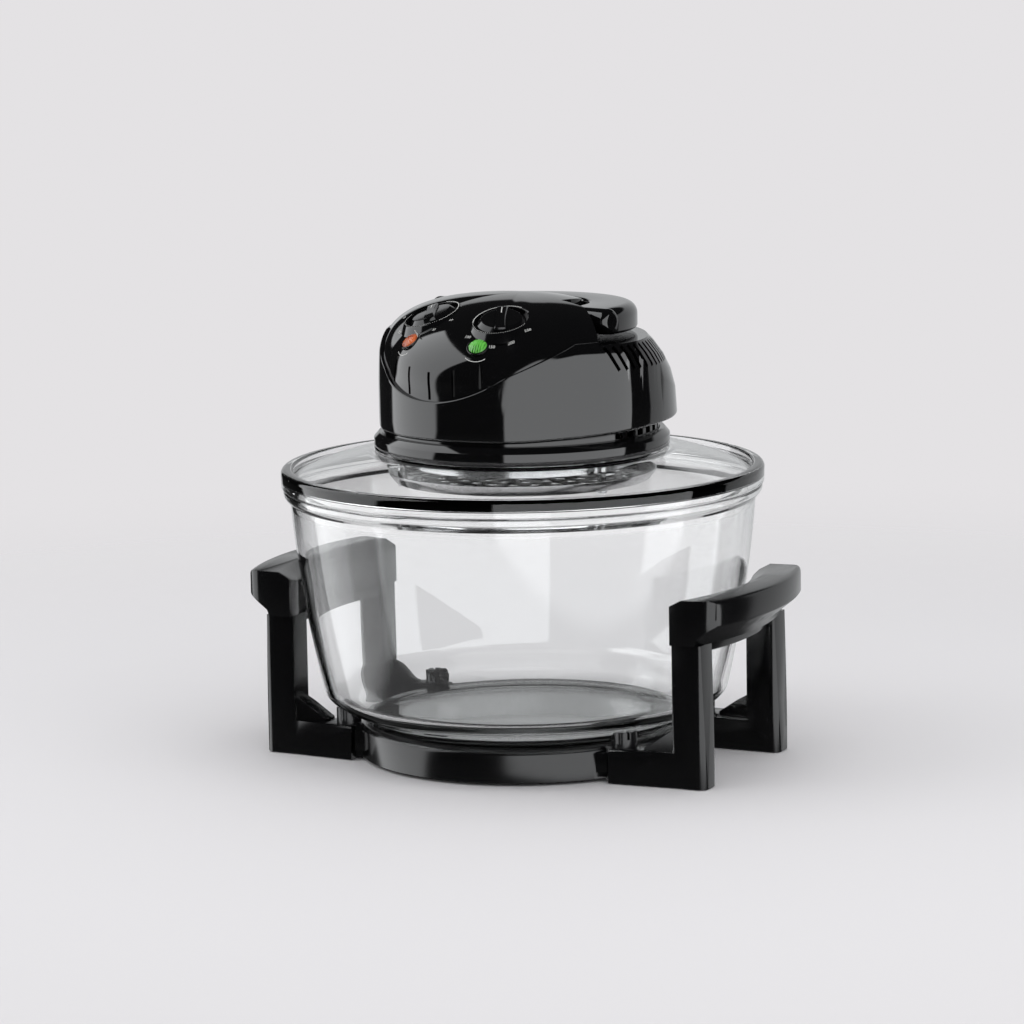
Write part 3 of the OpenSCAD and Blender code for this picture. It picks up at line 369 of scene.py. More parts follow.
def dusty_matte(name, colour, dust_colour, dull):
    """A matte rubber or ceramic with dust in uneven patches."""
    made, tree, surface = shader(name, {"Roughness": dull, "Specular IOR Level": 0.3})
    dust = noise(tree, 160.0, 8.0)
    feed(surface, {"Base Color": blended(tree, dust, (0.45, colour), (0.85, dust_colour)),
                   "Normal": bumped(tree, dust, 0.0001)})
    return made


pad_rubber = dusty_matte("pad_rubber", (0.03, 0.03, 0.03, 1), (0.085, 0.08, 0.075, 1), 0.8)
eased_piece("foot_pads", "rubber_pads", pad_edge, "stand", pad_rubber)

# Stand screws
# Eight pan-head screws of zinc-plated steel, seen only from below: four hold the feet to the ring
# and four hold the grips. Each has a cross recess.
screw_edge = 0.0004


def plated_steel(name, colour, dull, brushed=0.0):
    """Plated or bare steel: fine streaks or grain in colour and roughness."""
    made, tree, surface = shader(name, {"Metallic": 1.0})
    stretched = add_node(tree, "ShaderNodeMapping", {"Vector": spot(tree), "Scale": (1, 1, 1 + 14 * brushed)})
    grain = noise(tree, 420.0, 5.0, point=stretched.outputs[0])
    dim = [0.86 * c for c in colour[:3]] + [1]
    feed(surface, {"Base Color": blended(tree, grain, (0.3, dim), (0.7, colour)),
                   "Roughness": spread(tree, grain, 0, 1, 0.75 * dull, 1.3 * dull),
                   "Normal": bumped(tree, grain, 0.00004, 0.35)})
    return made


zinc = plated_steel("zinc_plate", (0.66, 0.66, 0.68, 1), 0.28)
eased_piece("frame_screws", "stand_screws", screw_edge, "stand", zinc)

# Glass bowl
# The bowl is pressed from tempered glass: a thick flat foot, a rounded corner, a wall that bulges a
# little, and a flared rim whose top is ground flat for the lid.
bowl_glass = 0.005
bowl_foot_r, bowl_bevel_r, bowl_wall_r, bowl_upper_r, bowl_rim_r = 0.108, 0.117, 0.1394, 0.159, 0.1636
bowl_bevel_rise, bowl_wall_rise, bowl_bulge = 0.0069, 0.0247, 0.00235
bowl_rim_high, bowl_rim_wide = 0.009, 0.0108
bowl_stations = 24


def heights(node):
    """A node's lowest and highest point above the floor."""
    return [corner[2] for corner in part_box(node)]


def rounded_line(corners, closed=True, cuts=5):
    """Corners (r, z, fillet) as a line whose corners are arcs of the fillet's radius."""
    line, count = [], len(corners)
    for i, (r, z, fillet) in enumerate(corners):
        corner = Vector((r, z))
        before = Vector(corners[i - 1][:2]) - corner
        after = Vector(corners[(i + 1) % count][:2]) - corner
        half = before.angle(after, 0) / 2
        if fillet <= 0 or half > radians(88) or (not closed and i in (0, count - 1)):
            line.append((r, z))
            continue
        reach = min(fillet / tan(half), 0.46 * before.length, 0.46 * after.length)
        radius = reach * tan(half)
        middle = corner + (before.normalized() + after.normalized()).normalized() * (reach / cos(half))
        start = corner + before.normalized() * reach - middle
        end = corner + after.normalized() * reach - middle
        sweep = start.angle_signed(end)
        for k in range(cuts + 1):
            spoke = start.copy()
            spoke.rotate(Matrix.Rotation(-sweep * k / cuts, 2))
            line.append(tuple(middle + spoke.normalized() * radius))
    return line


def full_turn(steps):
    """The angles of that many equal steps round a circle."""
    return [2 * pi * k / steps for k in range(steps)]


def skinned(rows, closed=False, around=True, capped=False):
    """A form with faces between neighbouring rows of points; a row of one point is a pole."""
    form = bmesh.new()
    rows = [[form.verts.new(point) for point in row] for row in rows]
    for one, other in zip(rows, rows[1:] + rows[:1] if closed else rows[1:]):
        count = max(len(one), len(other))
        for k in range(count if around else count - 1):
            j = (k + 1) % count
            corners = (one[k % len(one)], one[j % len(one)], other[j % len(other)], other[k % len(other)])
            form.faces.new(tuple(dict.fromkeys(corners)))
    if capped:
        form.faces.new(rows[0][::-1])
        form.faces.new(rows[-1])
    return form


def revolved(name, line, closed=True, steps=192):
    """A line (r, z) turned round the Z axis. An open line starts and ends on the axis."""
    rows = [[(r * cos(a), r * sin(a), z) for a in full_turn(steps if r > 1e-7 else 1)]
            for r, z in line]
    return mesh_of(name, skinned(rows, closed), 34)


def beside(line, distance):
    """The line moved sideways, to the left of its run."""
    moved = []
    for i, (r, z) in enumerate(line):
        ahead = Vector(line[min(i + 1, len(line) - 1)]) - Vector(line[max(i - 1, 0)])
        ahead.normalize()
        moved.append((r - ahead.y * distance, z + ahead.x * distance))
    return moved


def curve_between(a, a_ahead, b, b_ahead, pull, count):
    """Points of a smooth curve from a to b that leaves and arrives along the given directions."""
    a, b = Vector(a), Vector(b)
    c, d = a + Vector(a_ahead).normalized() * pull, b - Vector(b_ahead).normalized() * pull
    return [tuple((1 - t) ** 3 * a + 3 * t * (1 - t) ** 2 * c + 3 * t * t * (1 - t) * d + t ** 3 * b)
            for t in (k / count for k in range(count))]


def bowl_wall(share):
    """A point of the outer wall, from the corner at 0 to the rim at 1."""
    return (bowl_wall_r + (bowl_upper_r - bowl_wall_r) * share + 4 * bowl_bulge * share * (1 - share),
            bowl_low + bowl_wall_rise + (bowl_top - bowl_low - bowl_rim_high - bowl_wall_rise) * share)


def clear_glass(name, tint, polish):
    """Clear glass with faint finger marks that dull it in places."""
    made, tree, surface = shader(name, {"Base Color": tint, "Transmission Weight": 1.0, "IOR": 1.47})
    marks = noise(tree, 16.0, 7.0, 0.7)
    feed(surface, {"Roughness": spread(tree, marks, 0.58, 0.85, polish, polish + 0.03)})
    return made


bowl_low, bowl_top = heights("glass_bowl")
bevel_start = Vector((bowl_foot_r, bowl_low))
bevel_end = Vector((bowl_bevel_r, bowl_low + bowl_bevel_rise))
wall_start = Vector(bowl_wall(0))
corner_line = curve_between(bevel_end, bevel_end - bevel_start, wall_start,
                            Vector(bowl_wall(0.02)) - wall_start, 0.36 * (wall_start - bevel_end).length, 14)
foot_line = curve_between((bowl_foot_r - 0.008, bowl_low), (1, 0), bevel_start.lerp(bevel_end, 0.35),
                          bevel_end - bevel_start, 0.004, 6)
wall_line = [bowl_wall(k / bowl_stations) for k in range(bowl_stations + 1)]
outer_line = [(0, bowl_low)] + foot_line + corner_line + wall_line
inner_line = beside(outer_line, bowl_glass)
rim_inner_r = bowl_rim_r - bowl_rim_wide
rim_line = rounded_line([
    (*outer_line[-1], 0), (bowl_rim_r - 0.0014, bowl_top - 0.0062, 0.004),
    (bowl_rim_r, bowl_top - 0.004, 0.002), (bowl_rim_r, bowl_top, 0.0012),
    (rim_inner_r, bowl_top, 0.0012), (rim_inner_r - 0.0004, bowl_top - 0.004, 0)], closed=False)
tempered = clear_glass("tempered_glass", (0.985, 0.992, 0.99, 1), 0.0)
bowl_mesh = revolved("bowl", outer_line[:-1] + rim_line + inner_line[::-1], closed=False, steps=256)
piece("bowl", bowl_mesh, "bowl", tempered, "glass_bowl")

# Glass lid
# The lid is a shallow dome of tempered glass, even in thickness, with a thick rounded rim that sits
# on the bowl's. It rises to a flat edge round its hole, to which the head is clamped.
lid_glass = 0.005
lid_r, lid_inner_r, lid_edge_r, lid_hole_r = 0.1653, rim_inner_r, 0.097, 0.090
lid_rim_high, lid_edge_rise = 0.0138, 0.010
lid_stations = 20
lid_low, lid_high = heights("glass_lid")


def lid_top(share):
    """A point of the lid's top surface, from the rim at 0 to the flat edge at 1."""
    start, end = lid_r - 0.0093, lid_edge_r + 0.004
    return (start + (end - start) * share,
            lid_low + lid_edge_rise + (lid_high - lid_low - lid_edge_rise) * (1.2 * share - 0.2 * share ** 2))


top_line = [lid_top(k / lid_stations) for k in range(lid_stations + 1)]
under_line = beside(top_line, lid_glass)[:-1]
lid_rim_line = rounded_line([
    (lid_inner_r, lid_low + 0.004, 0), (lid_inner_r, lid_low, 0.0012), (lid_r - 0.0004, lid_low, 0.0022),
    (lid_r, lid_low + lid_rim_high, 0.0044), (lid_r - 0.0080, lid_low + lid_rim_high, 0.0036),
    (lid_r - 0.0084, lid_low + 0.0098, 0.0008), (*top_line[1], 0)], closed=False, cuts=7)
lid_edge_line = rounded_line([
    (*top_line[-1], 0), (lid_edge_r + 0.002, lid_high, 0.002), (lid_hole_r, lid_high, 0.0008),
    (lid_hole_r, lid_high - lid_glass, 0.0008), (lid_edge_r + 0.002, lid_high - lid_glass, 0.002),
    (*under_line[-1], 0)], closed=False)
lid_line = lid_rim_line + top_line[2:-1] + lid_edge_line + under_line[-2::-1]
piece("lid", revolved("lid", lid_line, steps=256), "lid", tempered, "glass_lid")

# Lid gasket
# A flat ring of black silicone sheet, clamped between the lid's edge and the head's flange.
silicone = dusty_matte("silicone", (0.02, 0.02, 0.021, 1), (0.05, 0.05, 0.05, 1), 0.55)
eased_piece("collar_gasket", "lid_gasket", 0.0002, "lid", silicone)

# Head flange
# The moulded base plate of the head. Its broad rim hangs over the lid's edge and carries the
# whole head; the chamfer above its face leads in to the neck.
head_plastic = moulded_plastic("head_plastic", (0.0028, 0.0028, 0.0031, 1), 0.055, smudge=0.05, level=0.66)
eased_piece("flange_plate", "head_flange", 0.0006, "lid", head_plastic)

# Vent neck
# A short round wall of the head's plastic between flange and housing, moulded with a row of
# cooling slots at each side.
eased_piece("neck_ring", "vent_neck", 0.0004, "lid", head_plastic)

# Reflector dish
# A pressed dish of bright aluminium sheet under the flange throws the lamp's heat down. It is
# 0.8 mm thick with a rolled shoulder, and has dulled a little in use.
dish_r, dish_hole_r, dish_sheet = 0.076, 0.010, 0.0008
dish_low, dish_high = heights("reflector_dish")
dish_line = rounded_line([
    (dish_hole_r, dish_high, 0), (dish_r - 0.0068, dish_high, 0.004),
    (dish_r - 0.0012, dish_high - 0.0022, 0.003), (dish_r, dish_high - 0.0066, 0.003), (dish_r, dish_low, 0)],
    closed=False)
dish_line += beside(dish_line, -dish_sheet)[::-1]
bright_sheet = plated_steel("bright_sheet", (0.80, 0.80, 0.81, 1), 0.16)
piece("reflector", revolved("reflector", dish_line, steps=160), "lid", bright_sheet,
      "reflector_dish")

# Lamp holders
# Two blocks of white glazed ceramic hang inside the dish and grip the tube's pinched ends.
glazed = dusty_matte("ceramic", (0.62, 0.6, 0.56, 1), (0.5, 0.47, 0.42, 1), 0.42)
eased_piece("holders", "lamp_holders", 0.0007, "lid", glazed)

# Halogen tube
# The lamp is a quartz tube bent to an open ring. It has a coiled tungsten wire inside, which runs
# almost to the pinched ends.
head_turn = radians(-14)
tube_ring, tube_r = 0.056, 0.005
tube_half_sweep, tube_stations = radians(165.6), 140
tube_z = sum(heights("halogen_tube")) / 2
wire_coil_r, wire_r = 0.0016, 0.00022
wire_points, wire_points_a_turn = 3000, 14


def on_tube(share, across, angle):
    """A point about the tube's middle line, whose share runs from -1 to 1 past the front."""
    a = head_turn - pi / 2 + tube_half_sweep * share
    r = tube_ring + across * cos(angle)
    return r * cos(a), r * sin(a), tube_z + across * sin(angle)


def lamp_tube():
    """The tube, a little narrower at its two ends."""
    stations = [(0.99 * (2 * k / tube_stations - 1), tube_r) for k in range(tube_stations + 1)]
    stations = [(-1, 0.8 * tube_r), (-0.997, tube_r)] + stations + [(0.997, tube_r), (1, 0.8 * tube_r)]
    rows = [[on_tube(share, r, b) for b in full_turn(20)] for share, r in stations]
    return mesh_of("lamp_tube", skinned(rows, capped=True), 40)


def filament():
    """The coiled wire."""
    coil = bpy.data.curves.new("filament", "CURVE")
    coil.dimensions = "3D"
    coil.bevel_depth, coil.bevel_resolution, coil.resolution_u = wire_r, 1, 2
    turns = coil.splines.new("POLY")
    turns.points.add(wire_points - 1)
    for k, point in enumerate(turns.points):
        share = 0.97 * (2 * k / (wire_points - 1) - 1)
        point.co = (*on_tube(share, wire_coil_r, 2 * pi * k / wire_points_a_turn), 1)
    mesh = frozen(linked("filament", coil))
    smooth(mesh, 60)
    return mesh


quartz = clear_glass("quartz", (0.98, 0.97, 0.95, 1), 0.02)
piece("lamp_tube", lamp_tube(), "lid", quartz, "halogen_tube")
tungsten = plated_steel("tungsten", (0.45, 0.43, 0.42, 1), 0.4)
piece("filament", filament(), "lid", tungsten)

# Guard tray
# A shallow dish of stainless sheet with rings of punched holes keeps splashes off the lamp. The
# edges of the holes are rounded by the punch.
stainless = plated_steel("stainless", (0.70, 0.70, 0.70, 1), 0.2)
eased_piece("guard_dish", "guard_tray", 0.00025, "lid", stainless, segments=2)

# Guard posts
# Three tubes of stainless steel hold the dish below the flange. An ear on each one clamps the
# lid's glass.
eased_piece("posts", "guard_posts", 0.0003, "lid", stainless)

# Guard screws
# A zinc-plated pan-head screw goes up through the guard tray and each post into the flange.
eased_piece("post_screws", "guard_screws", screw_edge, "lid", zinc)

# Fan shaft
# One ground steel shaft carries both fans and the motor's rotor. It turns in the motor's ends and
# in the bush below.
ground = plated_steel("ground_steel", (0.62, 0.62, 0.63, 1), 0.14)
eased_piece("shaft", "fan_shaft", 0.0003, "fan", ground)

# Shaft bush
# The shaft runs in a flanged bush of sintered bronze, pressed into the flange from above.
bronze = plated_steel("bronze", (0.48, 0.29, 0.13, 1), 0.35)
eased_piece("bush", "shaft_bush", 0.0003, "lid", bronze)

# Hot air fan
# Eight flat blades of thin stainless steel stand under a disc on a turned hub, on the shaft's
# lower end, and drive the hot air.
eased_piece("lower_fan", "hot_air_fan", 0.0002, "fan", stainless, segments=2)

# Cooling fan
# A fan moulded in grey plastic, with tilted blades, sits on the shaft above the flange. It draws
# air in at the housing's slots, past the motor.
fan_grey = moulded_plastic("fan_grey", (0.045, 0.045, 0.048, 1), 0.35, smudge=0.1)
eased_piece("upper_fan", "cooling_fan", 0.0003, "fan", fan_grey, segments=2)

# Motor
# A shaded-pole motor: a stack of steel sheets with its windings, in a plated can that is brushed
# along its length.
motor_plate = plated_steel("motor_plate", (0.5, 0.51, 0.53, 1), 0.32, brushed=1.0)
eased_piece("motor_can", "motor", 0.0006, "lid", motor_plate)

# Motor bracket
# A folded strap of zinc-plated steel on the flange holds the motor over the cooling fan.
eased_piece("strap", "motor_bracket", 0.0003, "lid", zinc)

# Housing
# The head's black cover is one glossy moulding: a full front panel under a swept ledge, flat
# cheeks, a low rear, and a deck that is cut away for the handle. It has round seats for dials and
# lamps, grooves at the front and a row of air slots on each side.
# The head's shapes, from here to the carry handle, are in millimetres about its own axis, with the
# front toward -Y; an eased edge stays in metres
flange_low = 1000 * heights("head_flange")[0]
crown_z, deck_z = flange_low + 104.2, flange_low + 77.2
front_r, rear_r, neck_r = 97.0, 106.0, 93.8
cover_columns, cover_rows, cover_edge, crease_depth = 240, 40, 2.4, 2.4
dial_at, dial_tilt, dial_seat, dial_seat_r, dial_wall = (30.5, 55.2), 21, 2.4, 18.9, 3.4
switch_well_r, switch_well_deep, switch_neck_r = 16.7, 22, 5.08
lamp_at, lamp_tilt, lamp_r = (29.8, 79.2), 39, 6.3
pivot_y, pin_r, pin_lift, tongue_r = 3.0, 3.58, 11.4, 42.0
bow_thick = 17.6
deck_front = pivot_y - bow_thick / 2 - 0.8
deck_turn_x, deck_sweep = 62, 40
slot_count, slot_first, slot_step, slot_lean, slot_half = 12, -13.4, 3.7, 31, (1.25, 9.2)
groove_half, groove_deep, groove_high, groove_step = 1.1, 5.2, 18.6, 11.8
gland_r, gland_rise = 7.08, 30


def rise(x, start, end):
    """A smooth step from 0 at the start to 1 at the end."""
    u = min(1.0, max(0.0, (x - start) / (end - start)))
    return u * u * (3 - 2 * u)


def shell_facts(a):
    """Radius, wall top, fullness, skirt and ledge heights and ledge depth at an angle from the front."""
    b = abs((a + 180) % 360 - 180)
    ledge = flange_low + 40.3 + (0.0155 * b * b if b < 33 else 16.9 + 0.72 * (min(b, 63) - 33))
    return (front_r + (rear_r - front_r) * rise(b, 48, 85), flange_low + 48.7 - 26 * rise(b, 80, 125),
            2.3 + rise(b, 30, 50) - rise(b, 75, 150), flange_low + 13.7 + 6.5 * rise(b, 30, 110),
            ledge, crease_depth * (1 - rise(b, 56, 80)))


def crown(r):
    """Height of the cover's gently domed top, were there no shoulder."""
    return crown_z - r * r / 1500


def shell_height(x, y):
    """Height of the cover's outer surface over a point of the head."""
    radius, top, n = shell_facts(degrees(atan2(x, -y)))[:3]
    r = hypot(x, y)
    return top + (crown(r) - top) * (1 - (r / radius) ** n) ** (1 / n)


def shell_column(a):
    """One upright line (r, z) of the cover, from inside its lower edge to near the crown."""
    radius, top, n, low, ledge, depth = shell_facts(a)
    b = abs((a + 180) % 360 - 180)

    def curved(f):
        r = radius * max(0, cos(f)) ** (2 / n)
        return r, top + (crown(r) - top) * sin(f) ** (2 / n)

    u = (ledge - top) / (crown(radius) - top)
    f_ledge = 0 if u <= 0 else asin(u ** (n / 2))
    w = max(0, top - ledge) / 60
    edge = (radius, ledge) if ledge < top else curved(f_ledge)
    lip = min(0.9, 0.42 * depth)
    below = low + cover_edge
    line = [(neck_r - 2, flange_low + 13.7 + 1.5 * rise(b, 30, 110)), (radius - cover_edge, low)]
    line += [(radius - cover_edge + cover_edge * sin(t), below - cover_edge * cos(t))
             for t in (pi / 10 * k for k in range(1, 6))]
    for share in (0.2, 0.4, 0.6, 0.8, 0.95):
        z = below + (edge[1] - below) * share
        line.append((radius, z) if z <= top else curved(f_ledge * share))
    line += [(edge[0] - lip + lip * cos(t), edge[1] - lip + lip * sin(t))
             for t in (pi / 8 * k for k in range(5))]
    for i in range(cover_rows + 1):
        s = (i / cover_rows) ** 1.25 * (w + 1) * 0.965
        r, z = (radius, ledge + s / w * (top - ledge)) if s < w else curved(
            f_ledge + (pi / 2 - f_ledge) * (s - w))
        line.append((r - depth * (1 - rise(z - ledge, 3, 28)), z))
    return line


def cover_skin():
    """A closed skin over the cover's upright lines, the first at the front."""
    columns = [[(r * sin(a), -r * cos(a), z) for r, z in shell_column(degrees(a))]
               for a in full_turn(cover_columns)]
    low = columns[0][0][2]
    return mesh_of("cover", skinned([[(0, 0, low)], *zip(*columns), [(0, 0, crown_z)]]))


def turned(angle, axis):
    """A turn about an axis, in degrees."""
    return Matrix.Rotation(radians(angle), 4, axis)


def moved(x, y, z):
    """A move along the three axes."""
    return Matrix.Translation((x, y, z))


def cylinder(radius, low, high, place=Matrix(), steps=64):
    """A closed cylinder from low to high, put in place."""
    form = bmesh.new()
    bmesh.ops.create_cone(form, cap_ends=True, segments=steps, radius1=radius, radius2=radius,
                          depth=high - low, matrix=place @ moved(0, 0, (low + high) / 2))
    return mesh_of("cylinder", form)


def block(lows, highs, place=Matrix()):
    """A closed block between two corners, put in place."""
    form = bmesh.new()
    size = Vector(highs) - Vector(lows)
    bmesh.ops.create_cube(form, size=1, matrix=place @ Matrix.Translation(
        (Vector(lows) + Vector(highs)) / 2) @ Matrix.Diagonal((*size, 1)))
    return mesh_of("block", form)


def flat_prism(outline, low, high):
    """A closed prism over an outline (x, y)."""
    rows = [[(x, y, z) for x, y in outline] for z in (low, high)]
    return mesh_of("prism", skinned(rows, capped=True))


def gathered(name, meshes):
    """Several meshes as one."""
    form = bmesh.new()
    for mesh in meshes:
        form.from_mesh(mesh)
        bpy.data.meshes.remove(mesh)
    return mesh_of(name, form, outward=False)


def combined(kind, mesh, *others):
    """The mesh with each other one cut away or joined on, in turn."""
    one = linked("worked", mesh)
    tools = [linked("tool", other) for other in others]
    for tool in tools:
        work = one.modifiers.new("work", "BOOLEAN")
        work.operation, work.solver, work.object = kind, "EXACT", tool
        work.use_self = kind == "DIFFERENCE"
    result = frozen(one)
    for tool in tools:
        bpy.data.objects.remove(tool)
    return result


def seat_place(at, tilt, side):
    """Where a dial or lamp stands on the cover: its axis square to the surface."""
    return (moved(side * at[0], -at[1], shell_height(at[0], -at[1]))
            @ Matrix.Rotation(side * atan2(*at), 4, "Z") @ turned(tilt, "X"))


def head_piece(name, mesh, place, body, material, node=None):
    """A piece that is made in millimetres about a place on the head."""
    mesh.transform(Matrix.Rotation(head_turn, 4, "Z") @ Matrix.Scale(0.001, 4) @ place)
    piece(name, mesh, body, material, node)


def pin_bores(low, high, z):
    """The two bores of the handle's pins, between two distances from the middle."""
    return [cylinder(pin_r, low, high, moved(0, pivot_y, z) @ turned(90 * side, "Y"), 40)
            for side in (-1, 1)]


def deck_cut():
    """What is cut away for the handle: all round the tongue and behind the swept front edge."""
    start = asin(deck_front / tongue_r)
    tongue = [(tongue_r * cos(t), tongue_r * sin(t))
              for t in (start + (pi - 2 * start) * k / 72 for k in range(73))]
    side, front, far = rear_r + 10, deck_front - deck_sweep, rear_r + 20
    return flat_prism(tongue + [(-deck_turn_x, deck_front), (-side, front), (-side, far), (side, far),
                                (side, front), (deck_turn_x, deck_front)], deck_z, deck_z + 40)


def cover_hollow():
    """The room inside the cover, for motor, switches and wires."""
    walls = [(neck_r + 0.6, 0), (neck_r + 0.6, 19.5), (neck_r - 1.3, 22.3), (neck_r - 1.3, 37),
             (neck_r - 3.8, 49), (neck_r - 10, 61)]
    roof = [(70, deck_z - 7.5), (tongue_r - 8, deck_z - 3.5), (tongue_r - 8, crown_z - 14.5),
            (0, crown_z - 11.5)]
    return revolved("hollow", [(0, flange_low)] + [(r, flange_low + z) for r, z in walls] + roof,
                    closed=False, steps=96)


dial_places = {side: seat_place(dial_at, dial_tilt, side) for side in (-1, 1)}
lamp_places = {side: seat_place(lamp_at, lamp_tilt, side) for side in (-1, 1)}
well_top = -dial_seat - dial_wall
seats, passages, slots, grooves = [], [], [], []
for side in (-1, 1):
    seats += [cylinder(dial_seat_r, -dial_seat, 12, dial_places[side], 96),
              cylinder(lamp_r + 1.5, -0.9, 6, lamp_places[side])]
    passages += [cylinder(switch_neck_r, -14, 0, dial_places[side], 40),
                 cylinder(switch_well_r, well_top - switch_well_deep, well_top, dial_places[side]),
                 cylinder(lamp_r + 0.08, -18, 2, lamp_places[side], 48)]
    for i in range(slot_count):
        lean = (turned(slot_first + slot_step * i, "Z") @ moved(68, 0, deck_z - 9.4)
                @ turned(slot_lean, "X"))
        wide, high = slot_half
        slots.append(block((0, -wide, -high), (60, wide, high), Matrix.Diagonal((side, 1, 1, 1)) @ lean))
for i in range(-2, 3):
    z = shell_facts(i * groove_step)[4] + 1.2
    corners = (-groove_half, -front_r - 2, z), (groove_half, -front_r + groove_deep, z + groove_high)
    grooves.append(block(*corners, turned(i * groove_step, "Z")))
gland_place = moved(0, 0, flange_low + gland_rise) @ turned(-90, "X")
gland_bore = cylinder(gland_r, 60, 110, gland_place, 48)
bores = pin_bores(tongue_r - 6.5, tongue_r + 6, deck_z + pin_lift)
cover = combined("DIFFERENCE", cover_skin(), deck_cut(), cover_hollow(), gathered("seats", seats),
                 gathered("passages", passages), gathered("slots", slots + grooves + bores + [gland_bore]))
smooth(cover, 28)
cover_form = bmesh.new()
cover_form.from_mesh(cover)
cover_tree = BVHTree.FromBMesh(cover_form)
head_piece("cover", cover, Matrix(), "lid", head_plastic, "head_housing")

# Switches
# The timer and the thermostat are bought units in pale moulded cases. Each is held in the housing
# under its dial, whose spindle turns in it.
switch_edge = 0.0005
switch_case = moulded_plastic("switch_case", (0.42, 0.41, 0.37, 1), 0.4, smudge=0.12)
eased_piece("timer_unit", "timer_switch", switch_edge, "lid", switch_case)
eased_piece("thermostat_unit", "thermostat_switch", switch_edge, "lid", switch_case)

# Dials
# Each dial is a black moulding: a low round base with sloping flanks, a broad grip bar across it
# and a spindle. A thin line printed in pale grey on the bar shows where it points.
dial_r, dial_low = 16.5, -dial_seat + 0.4
bar_half, bar_top, bar_end_r, bar_stations = 4.1, dial_low + 6.6, 15.9, 32
spindle_r, decal_lift = 3, 0.04
timer_turn, thermostat_turn = 152, 97
# The pale print; the same colour also paints the highlight line on each dial collar
print_and_highlight_white = moulded_plastic("print_and_highlight_white", (0.62, 0.62, 0.6, 1), 0.42, smudge=0.1, skin=1400)
dial_black = moulded_plastic("dial_black", (0.003, 0.003, 0.0033, 1), 0.09, smudge=0.08)


def grip_bar():
    """The bar, from end to end of the dial: rounded edges, a waist, and rounded ends."""
    rows = []
    for i in range(bar_stations + 1):
        t = -cos(pi * i / bar_stations)
        half = min(bar_half, bar_end_r * sqrt(max(0.0, 1 - t * t)))
        high = dial_low + 3 + (bar_top - dial_low - 3) * (1 - abs(t) ** 9) ** 0.4
        waist = half * (0.86 + 0.14 * abs(t))
        soft = min(0.9, 0.45 * waist + 0.01)
        edge = [(half, dial_low + 1), (waist, high - 2.2 * soft), (waist - 0.3 * soft, high - 0.8 * soft),
                (waist - soft, high)]
        rows.append([(bar_end_r * t, y, z) for y, z in [(-y, z) for y, z in edge] + edge[::-1]])
    form = skinned(rows, capped=True)
    bmesh.ops.remove_doubles(form, verts=form.verts, dist=0.002)
    return mesh_of("bar", form)


def dial_form(turn):
    """A dial about its own axis, standing on its seat, with its bar turned."""
    line = rounded_line([(0, 0, 0), (dial_r, 0, 0), (dial_r, 1.5, 0.5), (dial_r - 3, 4.5, 0.9), (0, 4.7, 0)],
                        closed=False)
    base = revolved("base", [(r, z + dial_low) for r, z in line], closed=False, steps=96)
    bar = grip_bar()
    bar.transform(turned(turn, "Z"))
    return gathered("dial", [base, bar, cylinder(spindle_r, dial_low - 15, dial_low + 1.5, steps=40)])


for side, body, node, turn in ((-1, "timer_dial", "timer_knob", timer_turn),
                               (1, "thermostat_dial", "thermostat_knob", thermostat_turn)):
    dial = dial_form(turn)
    smooth(dial, 38)
    head_piece(node + "_dial", dial, dial_places[side], body, dial_black, node)
    mark = block((4.0, -0.3, bar_top - 0.3), (12.0, 0.3, bar_top + decal_lift), turned(turn, "Z"))
    head_piece(node + "_mark", mark, dial_places[side], body, print_and_highlight_white)

# Dial scales
# Round each dial stands a thin flat collar of the cover's plastic. A fine pale line on its far half is
# a painted highlight, where the collar's edge catches light; a row of dots is printed on its near
# half, and plain numbers in pale grey lie on the curved cover outside it.
collar_in, collar_out, collar_top, collar_lean = dial_r + 1.9, 19.9, 1.4, 4
collar_foot_r, collar_foot = 24.0, -6.0
# The painted highlight: a pale arc on the collar's far half, where its edge catches light
painted_highlight_in, painted_highlight_out, painted_highlight_start, painted_highlight_sweep, painted_highlight_steps = 19.0, 19.5, -8, 196, 96
dot_count, dot_ring, dot_start, dot_sweep, dot_r = 35, 19.25, -168, 156, 0.3
figure_size, figure_reach = 3.1, 25.4
scales = {-1: [("0", -125), ("10", -90), ("20", -60), ("30", -28), ("40", 40), ("50", 68), ("60", 98)],
          1: [("100", -54), ("150", -6), ("200", 24), ("250", 54)]}


def laid_on_cover(mesh, place, lift=0.05):
    """The flat mesh laid on the cover, looking down the place's own axis."""
    mesh.transform(place)
    axis = place.col[2].to_3d().normalized()
    for vertex in mesh.vertices:
        hit, normal, face, distance = cover_tree.ray_cast(vertex.co + axis * 14, -axis)
        if hit is not None and distance < 28:
            vertex.co = hit + axis * lift
    return mesh


def ring_of_dots():
    """Geometry nodes: small discs along an arc about the origin."""
    group, given, end = node_group("ring_of_dots", "GeometryNodeTree", {
        "Count": "Int", "Radius": "Float", "Start": "Float", "Sweep": "Float", "Dot": "Float",
        "Material": "Material"}, {"Geometry": "Geometry"})
    path = add_node(group, "GeometryNodeCurveArc", {
        "Resolution": given["Count"], "Radius": given["Radius"], "Start Angle": given["Start"],
        "Sweep Angle": given["Sweep"]})
    disc = add_node(group, "GeometryNodeMeshCircle", {"Radius": given["Dot"], "Vertices": 8},
                    fill_type="NGON")
    put = add_node(group, "GeometryNodeInstanceOnPoints", {
        "Points": path.outputs[0], "Instance": disc.outputs["Mesh"]})
    real = add_node(group, "GeometryNodeRealizeInstances", {0: put.outputs[0]})
    dress = add_node(group, "GeometryNodeSetMaterial", {
        "Geometry": real.outputs[0], "Material": given["Material"]})
    feed(end, {"Geometry": dress.outputs[0]})
    return group


